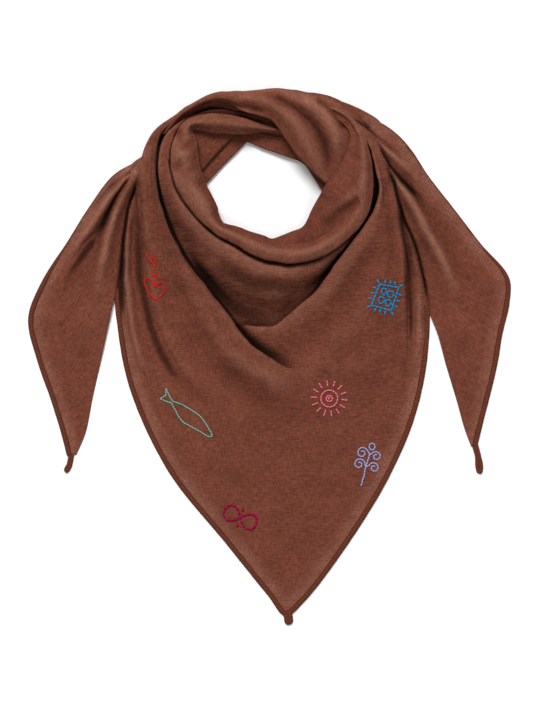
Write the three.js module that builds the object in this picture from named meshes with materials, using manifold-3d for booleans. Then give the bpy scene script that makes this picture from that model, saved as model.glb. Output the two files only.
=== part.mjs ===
// A soft triangular neck scarf, draped round an open neck hollow and laid flat.
// Millimetres, +Z up. +Y runs from the front point of the scarf towards the nape.
import * as THREE from 'three';
import { mergeVertices } from 'three/addons/utils/BufferGeometryUtils.js';
import Module from 'manifold-3d';

const wasm = await Module();
wasm.setup();

// Driving dimensions
const clothWall = 1.6;
const hemWall = 2.6;
const hemWidth = 5.5;
const seamGap = 0.45;
const foldRadius = 1.9;
const foldShoulder = 2.6;
const panelTuck = 32;
const pocketTuck = 28;
const rollTuck = 18;
const rimTuck = 12;
const tuckDrop = 4.5;
const rollDrop = 6.5;
const napeDrop = 5.5;
const rimDrop = 8.5;
const tuckShare = 0.75;
const shoulderShare = 0.4;
const crestRise = 4;
const pocketSink = 2;
const frontStep = 32;
const bandStep = 22;
const tailStep = 18;
const mergeTolerance = 0.5;
const touchDistance = 0.01;
const partingDistance = 0.06;
const weldDistance = 1e-4;
const mitreLimit = 0.6;
const centre = { x: -1.65, y: 0.54 };

// Knots between a section's ends: share is how far along, rise the added height.
const panelShares = [0.2, 0.45, 0.75];
const panelSteepness = { low: { y: 20, power: 2.2 }, high: { y: 180, power: 0.6 } };
const bandShares = [0, 0.25, 0.5, 0.75, 1];
const napeCrown = [{ share: 0.3, rise: 5 }, { share: 0.62, rise: 4 }];
const napeHang = { share: 0.9, fall: 0.22 };
const tabShape = [
  { share: 0, breadth: 0.8 },
  { share: 0.3, breadth: 1 },
  { share: 0.75, breadth: 0.9 },
  { share: 1, breadth: 0.45 },
];
const pleatFade = { start: 0.12, end: 0.3 };

// Colours and finish
const clothFinish = { color: 0x764838, roughness: 0.92, metalness: 0 };
const hemFinish = { color: 0x693a28, roughness: 0.9, metalness: 0 };

// The front drape, one row for each section round the neck, from under the nape wrap,
// over the left shoulder, round the front and up to the right shoulder.
// edge: outer edge or hem. leftLip and rightLip: the two big folds that face the neck.
// rollLip: outer lip of the roll. neck: its inner lip. rim: the layer under the roll.
// leftFold and neckFold: 1 where that fold is fully turned under, 0 where it has faded out.
const frontSections = [
  { edge: [30, 284, 5], leftLip: [28, 273, 8], rightLip: [27, 266, 9], rollLip: [25, 250, 12],
    neck: [24, 243, 11], rim: [22, 238, 7], leftFold: 0, neckFold: 1 },
  { edge: [-5, 289, 5], leftLip: [-4, 272, 12], rightLip: [-4, 266, 12], rollLip: [0, 252, 16],
    neck: [0, 245, 13], rim: [2, 240, 8], leftFold: 0, neckFold: 1 },
  { edge: [-30, 289, 4], leftLip: [-31, 275, 15], rightLip: [-31, 269, 13], rollLip: [-30, 261, 21],
    neck: [-30, 243, 17], rim: [-28, 247, 9], leftFold: 0, neckFold: 1 },
  { edge: [-62, 288, 3], leftLip: [-62, 279, 16], rightLip: [-61, 273, 13], rollLip: [-60, 266, 24],
    neck: [-60, 244, 19], rim: [-58, 249, 10], leftFold: 0, neckFold: 1 },
  { edge: [-97, 270, 3], leftLip: [-96, 265, 16], rightLip: [-94, 262, 13], rollLip: [-91, 259, 26],
    neck: [-85, 247, 20], rim: [-87, 250, 11], leftFold: 0.1, neckFold: 1 },
  { edge: [-128, 248, 3], leftLip: [-121, 244, 18], rightLip: [-115, 241, 14], rollLip: [-106, 238, 28],
    neck: [-82, 238, 21], rim: [-85, 239, 11], leftFold: 0.6, neckFold: 1 },
  { edge: [-143, 214, 4], leftLip: [-126, 214, 20], rightLip: [-121, 213, 11], rollLip: [-110, 213, 30],
    neck: [-79, 214, 21], rim: [-82, 214, 10], leftFold: 1, neckFold: 1 },
  { edge: [-158, 178, 1.5], leftLip: [-121, 180, 20], rightLip: [-116, 176, 8], rollLip: [-104, 183, 30],
    neck: [-71, 190, 20], rim: [-74, 191, 8], leftFold: 1, neckFold: 1 },
  { edge: [-169, 130, 0], leftLip: [-105, 133, 19], rightLip: [-100, 127, 7], rollLip: [-86, 158, 29],
    neck: [-61, 167, 19], rim: [-65, 168, 6], leftFold: 1, neckFold: 1 },
  { edge: [-175, 82, 0], leftLip: [-85, 99, 17], rightLip: [-79, 92, 5], rollLip: [-64, 137, 28],
    neck: [-53, 147, 18], rim: [-56, 149, 5], leftFold: 1, neckFold: 1 },
  { edge: [-169, 34, 0], leftLip: [-65, 75, 16], rightLip: [-58, 60, 5], rollLip: [-44, 125, 27],
    neck: [-36, 140.5, 18], rim: [-38, 143, 4], leftFold: 1, neckFold: 1 },
  { edge: [-155, -36, 0], leftLip: [-47, 45, 15], rightLip: [-40, 37, 6], rollLip: [-25, 114, 26],
    neck: [-20, 134, 18], rim: [-21, 137, 4], leftFold: 1, neckFold: 1 },
  { edge: [-113, -126, 0], leftLip: [-31, 22, 15], rightLip: [-24, 34, 9], rollLip: [-8, 106, 26],
    neck: [-8, 129.5, 18], rim: [-8, 133, 4], leftFold: 1, neckFold: 1 },
  { edge: [-50, -205, 0], leftLip: [-14, 7, 14], rightLip: [-8, 33, 10], rollLip: [5, 103.5, 26],
    neck: [2, 126.5, 19], rim: [1, 129.5, 4], leftFold: 1, neckFold: 1 },
  { edge: [-4, -262, 0], leftLip: [2, -3, 13], rightLip: [5, 35, 11], rollLip: [16, 102, 26],
    neck: [14, 124, 20], rim: [11, 132.5, 5], leftFold: 0.85, neckFold: 1 },
  { edge: [16, -285.5, 0], leftLip: [16, -11, 12], rightLip: [16, 43.5, 11], rollLip: [28, 102.5, 26],
    neck: [28, 123.5, 20], rim: [23, 137.5, 6], leftFold: 0.6, neckFold: 1 },
  { edge: [37, -269, 0], leftLip: [33, -16, 11], rightLip: [30, 55, 12], rollLip: [45, 106, 26],
    neck: [44, 125.5, 20], rim: [34, 142, 8], leftFold: 0.25, neckFold: 1 },
  { edge: [84, -207, 0], leftLip: [57, -10, 11], rightLip: [45, 67, 12], rollLip: [62, 113, 27],
    neck: [59, 133, 21], rim: [39, 149, 10], leftFold: 0, neckFold: 0.9 },
  { edge: [130, -132, 0], leftLip: [82, 8, 11], rightLip: [62, 89, 13], rollLip: [80, 125, 27],
    neck: [74, 144, 23], rim: [44, 160, 13], leftFold: 0, neckFold: 0.6 },
  { edge: [160, -60, 0], leftLip: [102, 38, 11], rightLip: [81, 115, 14], rollLip: [96, 141, 28],
    neck: [84, 157, 26], rim: [50, 171, 16], leftFold: 0, neckFold: 0.2 },
  { edge: [173, 10, 0], leftLip: [120, 80, 12], rightLip: [99, 139, 16], rollLip: [108, 161, 29],
    neck: [89, 175, 31], rim: [56, 181, 19], leftFold: 0, neckFold: 0 },
  { edge: [174, 70, 0], leftLip: [130, 120, 13], rightLip: [113, 160, 18], rollLip: [112, 184, 30],
    neck: [90, 193, 33], rim: [63, 194, 22], leftFold: 0, neckFold: 0 },
  { edge: [163, 135, 0], leftLip: [132, 162, 14], rightLip: [119, 184, 19], rollLip: [111, 207, 30],
    neck: [92, 210, 34], rim: [75, 209, 25], leftFold: 0, neckFold: 0 },
  { edge: [149, 188, 1], leftLip: [129, 197, 16], rightLip: [117, 204, 20], rollLip: [106, 229, 30],
    neck: [94, 229, 34], rim: [84, 228, 28], leftFold: 0, neckFold: 0 },
  { edge: [130, 226, 4], leftLip: [119, 223, 17], rightLip: [111, 227, 20], rollLip: [97, 249, 30],
    neck: [92, 246, 33], rim: [87, 243, 29], leftFold: 0, neckFold: 0 },
  { edge: [108, 249, 6], leftLip: [102, 247, 17], rightLip: [98, 250, 20], rollLip: [84, 265, 28],
    neck: [79, 262, 31], rim: [75, 258, 28], leftFold: 0, neckFold: 0 },
  { edge: [82, 268, 5], leftLip: [78, 264, 10], rightLip: [73, 265, 11], rollLip: [61, 279, 20],
    neck: [56, 272, 22], rim: [51, 266, 19], leftFold: 0, neckFold: 0 },
];
const frontHem = { first: 9, last: 21 };

// Small folded tabs stand out from the three corners: root is the middle of the sewn end.
const tabs = [
  { name: 'front_tab', root: [17.9, -285.5, 0], tip: [19.5, -294.5, 0], width: 6 },
  { name: 'left_tail_tab', root: [-219.6, -109.6, 0], tip: [-223.5, -125.5, 0], width: 7 },
  { name: 'right_tail_tab', root: [224.2, -100.8, 0], tip: [228.5, -125.5, 0], width: 7 },
];

// The nape wrap lies on the other layers, from the left back to under the roll's right arm.
const napeSections = [
  { inner: [-114, 243, 9], outer: [-124, 245, 2] },
  { inner: [-101, 259, 14], outer: [-110, 261, 3] },
  { inner: [-82, 273, 20], outer: [-88, 277, 3] },
  { inner: [-57, 280, 25], outer: [-60, 289, 3] },
  { inner: [-27, 267, 29], outer: [-28, 292, 2] },
  { inner: [0, 258, 29], outer: [5, 295, 2] },
  { inner: [14, 240, 28], outer: [35, 291, 2] },
  { inner: [35, 213, 24], outer: [66, 285, 2] },
  { inner: [62, 189, 18], outer: [92, 270, 5] },
  { inner: [78, 178, 12], outer: [108, 244, 12] },
];

// The tails fan out from the shoulders: inner is the soft long edge, outer the hemmed edge.
const leftTailSections = [
  { inner: [-126, 206, 8], outer: [-122, 232, 9] },
  { inner: [-145, 191, 8], outer: [-147, 216.5, 5] },
  { inner: [-155, 165, 7], outer: [-174, 200.5, 5] },
  { inner: [-160, 138, 6], outer: [-200, 167, 2] },
  { inner: [-163, 108, 5], outer: [-224, 129, 1] },
  { inner: [-169, 77, 5], outer: [-251, 85, 0] },
  { inner: [-177, 42, 4], outer: [-267, 42, 0] },
  { inner: [-186, 0, 2], outer: [-258.5, 0, 0] },
  { inner: [-196, -45, 0], outer: [-242, -48, 0] },
  { inner: [-204, -84, 0], outer: [-230, -87, 0] },
  { inner: [-214, -108, 0], outer: [-224.5, -109, 0] },
];
const tailHemStart = { left: 1, right: 2 };
const rightTailSections = [
  { inner: [60, 279, 10], outer: [62, 285.5, 6] },
  { inner: [84, 265, 12], outer: [90, 275.5, 6] },
  { inner: [103, 250, 14], outer: [114, 263, 6] },
  { inner: [118, 233, 14], outer: [140, 245, 5] },
  { inner: [130, 208, 12], outer: [156, 227, 5] },
  { inner: [141, 180, 9], outer: [174, 199.5, 4] },
  { inner: [151, 150, 7], outer: [201, 165, 2] },
  { inner: [160, 118, 6], outer: [231, 126, 1] },
  { inner: [168, 88, 5], outer: [262, 87, 0] },
  { inner: [175, 55, 5], outer: [262, 58, 0] },
  { inner: [183, 25, 3], outer: [254.5, 25, 0] },
  { inner: [192, -8, 1], outer: [248.5, -10, 0] },
  { inner: [204, -48, 0], outer: [239, -50, 0] },
  { inner: [213, -80, 0], outer: [231, -81, 0] },
  { inner: [220, -99, 0], outer: [226.5, -100, 0] },
];

// Three low layers show through the neck hollow's far side.
const backLayers = [
  [
    { inner: [-80, 181, 3], outer: [-96, 196, 6] },
    { inner: [-71, 190, 3], outer: [-90, 212, 6] },
    { inner: [-50, 212, 3], outer: [-72, 236, 6] },
    { inner: [-26, 236, 3], outer: [-45, 260, 6] },
    { inner: [-8, 252, 3], outer: [-20, 276, 5] },
  ],
  [
    { inner: [-84, 190, 8], outer: [-98, 204, 12] },
    { inner: [-77, 202, 9], outer: [-96, 222, 13] },
    { inner: [-62, 220, 9], outer: [-85, 247, 13] },
    { inner: [-42, 241, 9], outer: [-60, 262, 12] },
    { inner: [-25, 254, 9], outer: [-38, 272, 10] },
  ],
  [
    { inner: [-52, 243, 5], outer: [-60, 272, 6] },
    { inner: [-26, 235.5, 5], outer: [-30, 274, 7] },
    { inner: [-9, 228.5, 5], outer: [0, 274, 7] },
    { inner: [14, 220.5, 5], outer: [32, 270, 8] },
    { inner: [35, 212, 5], outer: [62, 252, 9] },
    { inner: [47, 196, 6], outer: [82, 226, 12] },
    { inner: [57, 181, 7], outer: [92, 204, 14] },
    { inner: [70, 166, 8], outer: [100, 184, 14] },
  ],
];

// Soft pleats raise or lower a sheet beside a line: rise is the height and width the reach.
const panelPleats = [
  { line: [[-134, 236], [-137, 200], [-140, 155], [-131, 118], [-108, 80]], rise: 5, width: 9 },
  { line: [[-147, 195], [-149, 150], [-147, 100], [-139, 58], [-124, 12], [-100, -20]], rise: -5, width: 9 },
  { line: [[-156, 185], [-159, 120], [-161, 66]], rise: 3, width: 6 },
  { line: [[117, 228], [126, 190], [123, 160], [107, 126], [84, 94]], rise: 3.5, width: 11 },
  { line: [[128, 212], [138, 176], [147, 138], [154, 95], [157, 48], [156, -5]], rise: -5, width: 9 },
  { line: [[148, 175], [160, 120], [166, 62], [166, 15]], rise: 3, width: 7 },
];
const leftTailPleats = [
  { line: [[-148, 205], [-164, 181], [-178, 160], [-196, 131], [-214, 106]], rise: -4, width: 6 },
  { line: [[-150, 212], [-171, 191], [-190, 170], [-212, 138], [-232, 108]], rise: 4, width: 7 },
  { line: [[-150, 198], [-165, 165], [-176, 142], [-187, 112]], rise: 4, width: 7 },
];
const rightTailPleats = [
  { line: [[122, 234], [132, 212], [148, 193], [170, 165], [187, 138]], rise: -5, width: 7 },
  { line: [[126, 244], [150, 218], [172, 188], [202, 148]], rise: 4, width: 8 },
  { line: [[130, 214], [144, 184], [158, 158], [170, 132]], rise: 4, width: 7 },
];
const napePleats = [
  { line: [[-40, 288], [0, 277], [20, 260], [33, 237], [46, 210]], rise: 3, width: 7 },
  { line: [[10, 284], [36, 270], [49, 247], [57, 224], [63, 200]], rise: -5, width: 6 },
  { line: [[28, 285], [54, 258], [66, 234], [73, 214]], rise: 3, width: 7 },
];

const point = ([x, y, z]) => new THREE.Vector3(x, y, z);

// A point a level distance from one point towards another, and lifted.
function towards(from, to, distance, lift = 0) {
  const run = Math.hypot(to.x - from.x, to.y - from.y) || 1;
  const share = distance / run;
  return new THREE.Vector3(
    from.x + (to.x - from.x) * share,
    from.y + (to.y - from.y) * share,
    from.z + lift,
  );
}

const levelRun = (a, b) => Math.hypot(b.x - a.x, b.y - a.y);
const shoulderRun = (a, b) => Math.min(foldShoulder, levelRun(a, b) * shoulderShare);

// A crease that lies under a fold, on the way back towards another knot.
function under(lip, back, depth, drop) {
  return towards(lip, back, Math.min(depth, levelRun(lip, back) * tuckShare), -drop);
}

const between = (a, b, share) => a.clone().lerp(b, share);

// Knots across one section. A lip is the apex of a fold that shows, and gets a shoulder
// on both sides: lip 1 has the upper layer before it, lip -1 after it. A crease is hidden.
function roundFolds(knots) {
  const rounded = [];
  knots.forEach((knot, index) => {
    if (!knot.lip) {
      rounded.push(knot.at);
      return;
    }
    const height = foldRadius * knot.lip * knot.folded;
    const [before, after] = [knots[index - 1].at, knots[index + 1].at];
    rounded.push(towards(knot.at, before, shoulderRun(knot.at, before), height));
    rounded.push(knot.at);
    rounded.push(towards(knot.at, after, shoulderRun(knot.at, after), -height));
  });
  return rounded;
}

function foldRows(knots) {
  const rows = [];
  let row = 0;
  for (const knot of knots) {
    if (knot.lip) rows.push(row + 1);
    if (knot.crease) rows.push(row);
    row += knot.lip ? 3 : 1;
  }
  return rows;
}

// The front drape runs from the hem up to its left and right folds, under them as the
// pocket, and over the roll to the neck.
function frontKnots(section) {
  const edge = point(section.edge);
  const leftLip = point(section.leftLip);
  const rightLip = point(section.rightLip);
  const rollLip = point(section.rollLip);
  const neck = point(section.neck);
  const rim = point(section.rim);
  const { low, high } = panelSteepness;
  const lipHeight = THREE.MathUtils.clamp(leftLip.y, low.y, high.y);
  const steepness = THREE.MathUtils.mapLinear(lipHeight, low.y, high.y, low.power, high.power);
  const panelKnots = panelShares.map((share) => {
    const knot = between(edge, leftLip, share);
    knot.z = edge.z + (leftLip.z - edge.z) * share ** steepness;
    return { at: knot };
  });
  const leftUnder = under(leftLip, edge, panelTuck, tuckDrop);
  const leftOpen = between(leftLip, rightLip, 0.35);
  const leftCrease = leftOpen.lerp(leftUnder, section.leftFold);
  const rightCrease = under(rightLip, edge, pocketTuck, tuckDrop);
  const pocket = between(rightLip, rollLip, 0.5);
  pocket.z = rightLip.z - pocketSink;
  const rollCrease = under(rollLip, neck, rollTuck, rollDrop);
  const crest = between(rollLip, neck, 0.5);
  crest.z = Math.max(rollLip.z, neck.z) + crestRise;
  const neckUnder = under(neck, rollLip, rimTuck, rimDrop);
  const neckOpen = between(neck, rim, 0.3);
  const neckCrease = neckOpen.lerp(neckUnder, section.neckFold);
  return [
    { at: edge },
    ...panelKnots,
    { at: leftLip, lip: 1, folded: section.leftFold },
    { at: leftCrease, crease: true },
    { at: rightLip, lip: 1, folded: 1 },
    { at: rightCrease, crease: true },
    { at: pocket },
    { at: rollCrease, crease: true },
    { at: rollLip, lip: -1, folded: 1 },
    { at: crest },
    { at: neck, lip: 1, folded: section.neckFold },
    { at: neckCrease, crease: true },
    { at: rim },
  ];
}

// The nape wrap has a lip on its neck side and falls to the surface on its outer side.
function napeKnots(section) {
  const inner = point(section.inner);
  const outer = point(section.outer);
  const tucked = under(inner, outer, rimTuck, napeDrop);
  const crown = napeCrown.map(({ share, rise }) => {
    const knot = between(inner, outer, share);
    knot.z = inner.z + rise;
    return { at: knot };
  });
  const hang = between(inner, outer, napeHang.share);
  hang.z = THREE.MathUtils.lerp(inner.z, outer.z, napeHang.fall);
  return [{ at: tucked }, { at: inner, lip: -1, folded: 1 }, ...crown, { at: hang }, { at: outer }];
}

function bandKnots(section) {
  const inner = point(section.inner);
  const outer = point(section.outer);
  return bandShares.map((share) => ({ at: between(inner, outer, share) }));
}

// Samples one smooth line through points, with a given number of steps in each gap.
function sampleLine(points, steps) {
  const curve = new THREE.CatmullRomCurve3(points, false, 'centripetal');
  const gaps = points.length - 1;
  const samples = [];
  for (let gap = 0; gap < gaps; gap += 1) {
    for (let step = 0; step < steps[gap]; step += 1) {
      samples.push(curve.getPoint((gap + step / steps[gap]) / gaps));
    }
  }
  samples.push(points[gaps].clone());
  return samples;
}

function stepsFor(lines, step) {
  const gaps = lines[0].length - 1;
  return Array.from({ length: gaps }, (_, gap) => {
    const widest = Math.max(...lines.map((line) => line[gap].distanceTo(line[gap + 1])));
    return Math.max(1, Math.round(widest / step));
  });
}

function runningTotal(counts) {
  const totals = [0];
  counts.forEach((count) => totals.push(totals.at(-1) + count));
  return totals;
}

// Height that the pleats add at a place, fading out at both ends of each line.
function pleatHeight(pleats, x, y) {
  let height = 0;
  for (const { line, rise, width } of pleats) {
    let nearest = Infinity;
    let share = 0;
    for (let i = 0; i < line.length - 1; i += 1) {
      const [ax, ay] = line[i];
      const [bx, by] = line[i + 1];
      const length2 = (bx - ax) ** 2 + (by - ay) ** 2;
      const along = THREE.MathUtils.clamp(
        ((x - ax) * (bx - ax) + (y - ay) * (by - ay)) / length2, 0, 1);
      const away = Math.hypot(x - ax - (bx - ax) * along, y - ay - (by - ay) * along);
      if (away < nearest) {
        nearest = away;
        share = (i + along) / (line.length - 1);
      }
    }
    const start = THREE.MathUtils.smoothstep(share, 0, pleatFade.start);
    const end = THREE.MathUtils.smoothstep(1 - share, 0, pleatFade.end);
    height += rise * start * end * Math.exp(-((nearest / width) ** 2));
  }
  return height;
}

// Lofts the sections' knots into a grid of points, rows across and columns along the sections.
function loft(knotSets, step) {
  const nets = knotSets.map(roundFolds);
  const alongLines = nets[0].map((_, row) => nets.map((net) => net[row]));
  const alongSteps = stepsFor(alongLines, step);
  const rows = alongLines.map((line) => sampleLine(line, alongSteps));
  const acrossLines = rows[0].map((_, column) => rows.map((row) => row[column]));
  const acrossSteps = stepsFor(acrossLines, step);
  const columns = acrossLines.map((line) => sampleLine(line, acrossSteps));
  return { columns, rowStarts: runningTotal(acrossSteps), columnStarts: runningTotal(alongSteps) };
}

// A grid of wall points on both faces of a sheet, kept on or above the surface it lies on.
// The wall stands upright along hemRow, where it faces a hem.
function thicken(columns, wall, hemRow = -1) {
  const faces = { upper: [], lower: [] };
  columns.forEach((column) => column.forEach((at) => {
    at.z = Math.max(at.z, wall / 2);
  }));
  columns.forEach((column, i) => {
    const before = columns[Math.max(i - 1, 0)];
    const after = columns[Math.min(i + 1, columns.length - 1)];
    const upper = [];
    const lower = [];
    column.forEach((at, j) => {
      const along = after[j].clone().sub(before[j]);
      const across = column[Math.min(j + 1, column.length - 1)].clone().sub(column[Math.max(j - 1, 0)]);
      const normal = along.cross(across).normalize();
      if (j === hemRow) normal.set(0, 0, Math.sign(normal.z));
      upper.push(at.clone().addScaledVector(normal, wall / 2));
      lower.push(at.clone().addScaledVector(normal, -wall / 2));
    });
    faces.upper.push(upper);
    faces.lower.push(lower);
  });
  return faces;
}

// A closed slab from the rows first to last of a thickened sheet.
function slab({ upper, lower }, first = 0, last = upper[0].length - 1) {
  const vertices = [];
  const triangles = [];
  const width = last - first + 1;
  const count = upper.length;
  for (const face of [upper, lower]) {
    for (const column of face) {
      for (let row = first; row <= last; row += 1) vertices.push(...column[row].toArray());
    }
  }
  const index = (side, i, j) => side * count * width + i * width + j;
  const quad = (a, b, c, d) => triangles.push(a, b, c, a, c, d);
  for (let i = 0; i < count - 1; i += 1) {
    for (let j = 0; j < width - 1; j += 1) {
      quad(index(0, i, j), index(0, i + 1, j), index(0, i + 1, j + 1), index(0, i, j + 1));
      quad(index(1, i, j), index(1, i, j + 1), index(1, i + 1, j + 1), index(1, i + 1, j));
    }
  }
  for (let i = 0; i < count - 1; i += 1) {
    quad(index(0, i + 1, 0), index(0, i, 0), index(1, i, 0), index(1, i + 1, 0));
    quad(index(0, i, width - 1), index(0, i + 1, width - 1), index(1, i + 1, width - 1), index(1, i, width - 1));
  }
  for (let j = 0; j < width - 1; j += 1) {
    quad(index(0, 0, j), index(0, 0, j + 1), index(1, 0, j + 1), index(1, 0, j));
    quad(index(0, count - 1, j + 1), index(0, count - 1, j), index(1, count - 1, j), index(1, count - 1, j + 1));
  }
  return { vertices, triangles };
}

function solid({ vertices, triangles }) {
  const geometry = new THREE.BufferGeometry();
  geometry.setAttribute('position', new THREE.Float32BufferAttribute(vertices, 3));
  geometry.setIndex(triangles);
  const merged = mergeVertices(geometry, weldDistance);
  const vertProperties = merged.getAttribute('position').array;
  const triVerts = new Uint32Array(merged.getIndex().array);
  return new wasm.Manifold(new wasm.Mesh({ numProp: 3, vertProperties, triVerts }));
}

// Where two layers touch along an edge, their corners share a place. Each is drawn back
// into its own layer, so that the layers part.
function partTouchingLayers(body) {
  const { numProp, vertProperties, triVerts } = body.getMesh();
  const corners = Array.from({ length: vertProperties.length / numProp }, (_, i) => (
    new THREE.Vector3().fromArray(vertProperties, i * numProp)));
  const normals = corners.map(() => new THREE.Vector3());
  for (let i = 0; i < triVerts.length; i += 3) {
    const [a, b, c] = triVerts.slice(i, i + 3);
    const edge = corners[b].clone().sub(corners[a]);
    const facing = edge.cross(corners[c].clone().sub(corners[a]));
    [a, b, c].forEach((corner) => normals[corner].add(facing));
  }
  const places = new Map();
  corners.forEach((corner, i) => {
    const key = corner.toArray().map((value) => Math.round(value / touchDistance)).join();
    places.set(key, [...(places.get(key) ?? []), i]);
  });
  for (const sharing of places.values()) {
    if (sharing.length > 1) {
      sharing.forEach((i) => corners[i].addScaledVector(normals[i].normalize(), -partingDistance));
    }
  }
  const moved = new Float32Array(corners.flatMap((corner) => corner.toArray()));
  return new wasm.Manifold(new wasm.Mesh({ numProp: 3, vertProperties: moved, triVerts }));
}

// Joins slabs into one solid, and drops air pockets that are sealed inside it.
function join(slabs) {
  const joined = wasm.Manifold.union(slabs.map(solid)).simplify(mergeTolerance);
  const shells = joined.decompose();
  const cloth = shells.reduce((largest, shell) => (shell.volume() > largest.volume() ? shell : largest));
  return partTouchingLayers(cloth);
}

function meshOf(name, body, finish) {
  const { numProp, vertProperties, triVerts } = body.getMesh();
  const positions = [];
  for (let i = 0; i < vertProperties.length; i += numProp) {
    positions.push(vertProperties[i] - centre.x, vertProperties[i + 1] - centre.y, vertProperties[i + 2]);
  }
  const geometry = new THREE.BufferGeometry();
  geometry.setAttribute('position', new THREE.Float32BufferAttribute(positions, 3));
  geometry.setIndex(Array.from(triVerts));
  geometry.computeVertexNormals();
  const mesh = new THREE.Mesh(geometry, new THREE.MeshStandardMaterial(finish));
  mesh.name = name;
  return mesh;
}

// Moves a line of points sideways in the level plane: positive is to the left of its run.
function offsetLine(line, distance) {
  return line.map((at, i) => {
    const before = line[Math.max(i - 1, 0)];
    const after = line[Math.min(i + 1, line.length - 1)];
    const arriving = new THREE.Vector2(at.x - before.x, at.y - before.y);
    const leaving = new THREE.Vector2(after.x - at.x, after.y - at.y);
    if (arriving.length() === 0) arriving.copy(leaving);
    if (leaving.length() === 0) leaving.copy(arriving);
    arriving.normalize();
    leaving.normalize();
    const heading = arriving.clone().add(leaving).normalize();
    const mitre = distance / Math.max(heading.dot(leaving), mitreLimit);
    return new THREE.Vector3(at.x - heading.y * mitre, at.y + heading.x * mitre, at.z);
  });
}

// A hem is a rolled strip along an outline, with a small gap to the cloth inside it.
// side is 1 where the cloth lies to the left of the outline's run, and -1 to the right.
function hemMesh(name, outline, side) {
  const inner = offsetLine(outline, side * hemWidth);
  const columns = outline.map((at, i) => [at.clone(), inner[i]]);
  return meshOf(name, solid(slab(thicken(columns, hemWall))), hemFinish);
}

function tabMesh({ name, root, tip, width }) {
  const [start, end] = [point(root), point(tip)];
  const heading = end.clone().sub(start).normalize();
  const sideways = new THREE.Vector3(-heading.y, heading.x, 0);
  const columns = tabShape.map(({ share, breadth }) => {
    const middle = start.clone().lerp(end, share);
    return [-0.5, 0, 0.5].map((place) => middle.clone().addScaledVector(sideways, place * breadth * width));
  });
  return meshOf(name, solid(slab(thicken(columns, hemWall))), hemFinish);
}

const scarf = new THREE.Group();
const clothSlabs = [];

function addPleats(columns, pleats, firstRow, endRow) {
  for (const column of columns) {
    for (let row = firstRow; row < endRow; row += 1) {
      column[row].z += pleatHeight(pleats, column[row].x, column[row].y);
    }
  }
}

// Draws the cloth back from its outline by the hem's width, from a column before the hem
// to one after it, and gives the outline along the hem. The rows up to farRow move less and less.
function makeRoomForHem(columns, row, farRow, side, first, last) {
  const start = first - 1;
  const end = Math.min(last + 1, columns.length - 1);
  const outline = columns.slice(start, end + 1).map((column) => column[row].clone());
  const inner = offsetLine(outline, side * (hemWidth + seamGap));
  inner.forEach((at, i) => {
    const column = columns[start + i];
    const shift = at.clone().sub(column[row]);
    const reach = column[row].distanceTo(column[farRow]);
    const rows = column.slice(Math.min(row, farRow), Math.max(row, farRow) + 1);
    const shares = rows.map((knot) => Math.min(knot.distanceTo(column[farRow]) / reach, 1));
    rows.forEach((knot, j) => knot.addScaledVector(shift, shares[j]));
  });
  return outline.slice(1, 2 + last - first);
}

function addFrontDrape() {
  const front = loft(frontSections.map(frontKnots), frontStep);
  const lastRow = front.columns[0].length - 1;
  const folds = foldRows(frontKnots(frontSections[0])).map((row) => front.rowStarts[row]);
  addPleats(front.columns, panelPleats, 1, folds[0]);
  const hemStart = front.columnStarts[frontHem.first];
  const hemEnd = front.columnStarts[frontHem.last];
  const outline = makeRoomForHem(front.columns, 0, folds[0] - 1, 1, hemStart, hemEnd);
  const faces = thicken(front.columns, clothWall, 0);
  const cuts = [0, ...folds, lastRow];
  for (let i = 0; i < cuts.length - 1; i += 1) clothSlabs.push(slab(faces, cuts[i], cuts[i + 1]));
  scarf.add(hemMesh('front_hem', outline, 1));
}

function addBand(sections, knots, pleats) {
  const { columns } = loft(sections.map(knots), bandStep);
  addPleats(columns, pleats, 1, columns[0].length - 1);
  clothSlabs.push(slab(thicken(columns, clothWall)));
}

function addTail(side, sections, pleats) {
  const inward = side === 'left' ? 1 : -1;
  const { columns, columnStarts } = loft(sections.map(bandKnots), tailStep);
  const lastRow = columns[0].length - 1;
  addPleats(columns, pleats, 1, lastRow);
  const hemStart = columnStarts[tailHemStart[side]];
  const outline = makeRoomForHem(columns, lastRow, 0, inward, hemStart, columns.length - 1);
  clothSlabs.push(slab(thicken(columns, clothWall, lastRow)));
  scarf.add(hemMesh(`${side}_tail_hem`, outline, inward));
}

addFrontDrape();
addBand(napeSections, napeKnots, napePleats);
addTail('left', leftTailSections, leftTailPleats);
addTail('right', rightTailSections, rightTailPleats);
backLayers.forEach((layer) => addBand(layer, bandKnots, []));
scarf.add(meshOf('scarf_cloth', join(clothSlabs), clothFinish));
tabs.forEach((tab) => scarf.add(tabMesh(tab)));

export default scarf;
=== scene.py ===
# A soft brown gauze neck scarf, draped as it is worn round an open neck hollow and laid flat.
# Every table is in millimetres on the scarf's own plan: x to the right, y towards the nape and
# z up from the floor. place() turns plan millimetres into the frame's metres.
import math

import bpy
import numpy as np
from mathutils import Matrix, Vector
from mathutils.bvhtree import BVHTree


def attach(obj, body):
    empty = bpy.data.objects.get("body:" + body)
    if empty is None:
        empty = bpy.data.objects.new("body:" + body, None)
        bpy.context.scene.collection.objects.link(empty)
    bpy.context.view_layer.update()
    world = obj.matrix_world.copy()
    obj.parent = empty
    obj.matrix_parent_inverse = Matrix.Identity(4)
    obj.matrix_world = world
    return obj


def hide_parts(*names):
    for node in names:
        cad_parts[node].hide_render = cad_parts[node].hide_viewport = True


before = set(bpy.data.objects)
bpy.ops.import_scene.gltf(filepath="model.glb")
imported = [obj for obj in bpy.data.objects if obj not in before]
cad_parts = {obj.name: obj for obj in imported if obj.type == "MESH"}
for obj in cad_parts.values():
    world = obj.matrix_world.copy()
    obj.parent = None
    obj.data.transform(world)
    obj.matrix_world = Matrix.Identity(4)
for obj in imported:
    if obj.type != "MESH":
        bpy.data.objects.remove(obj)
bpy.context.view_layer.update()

MM = 0.001
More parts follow.
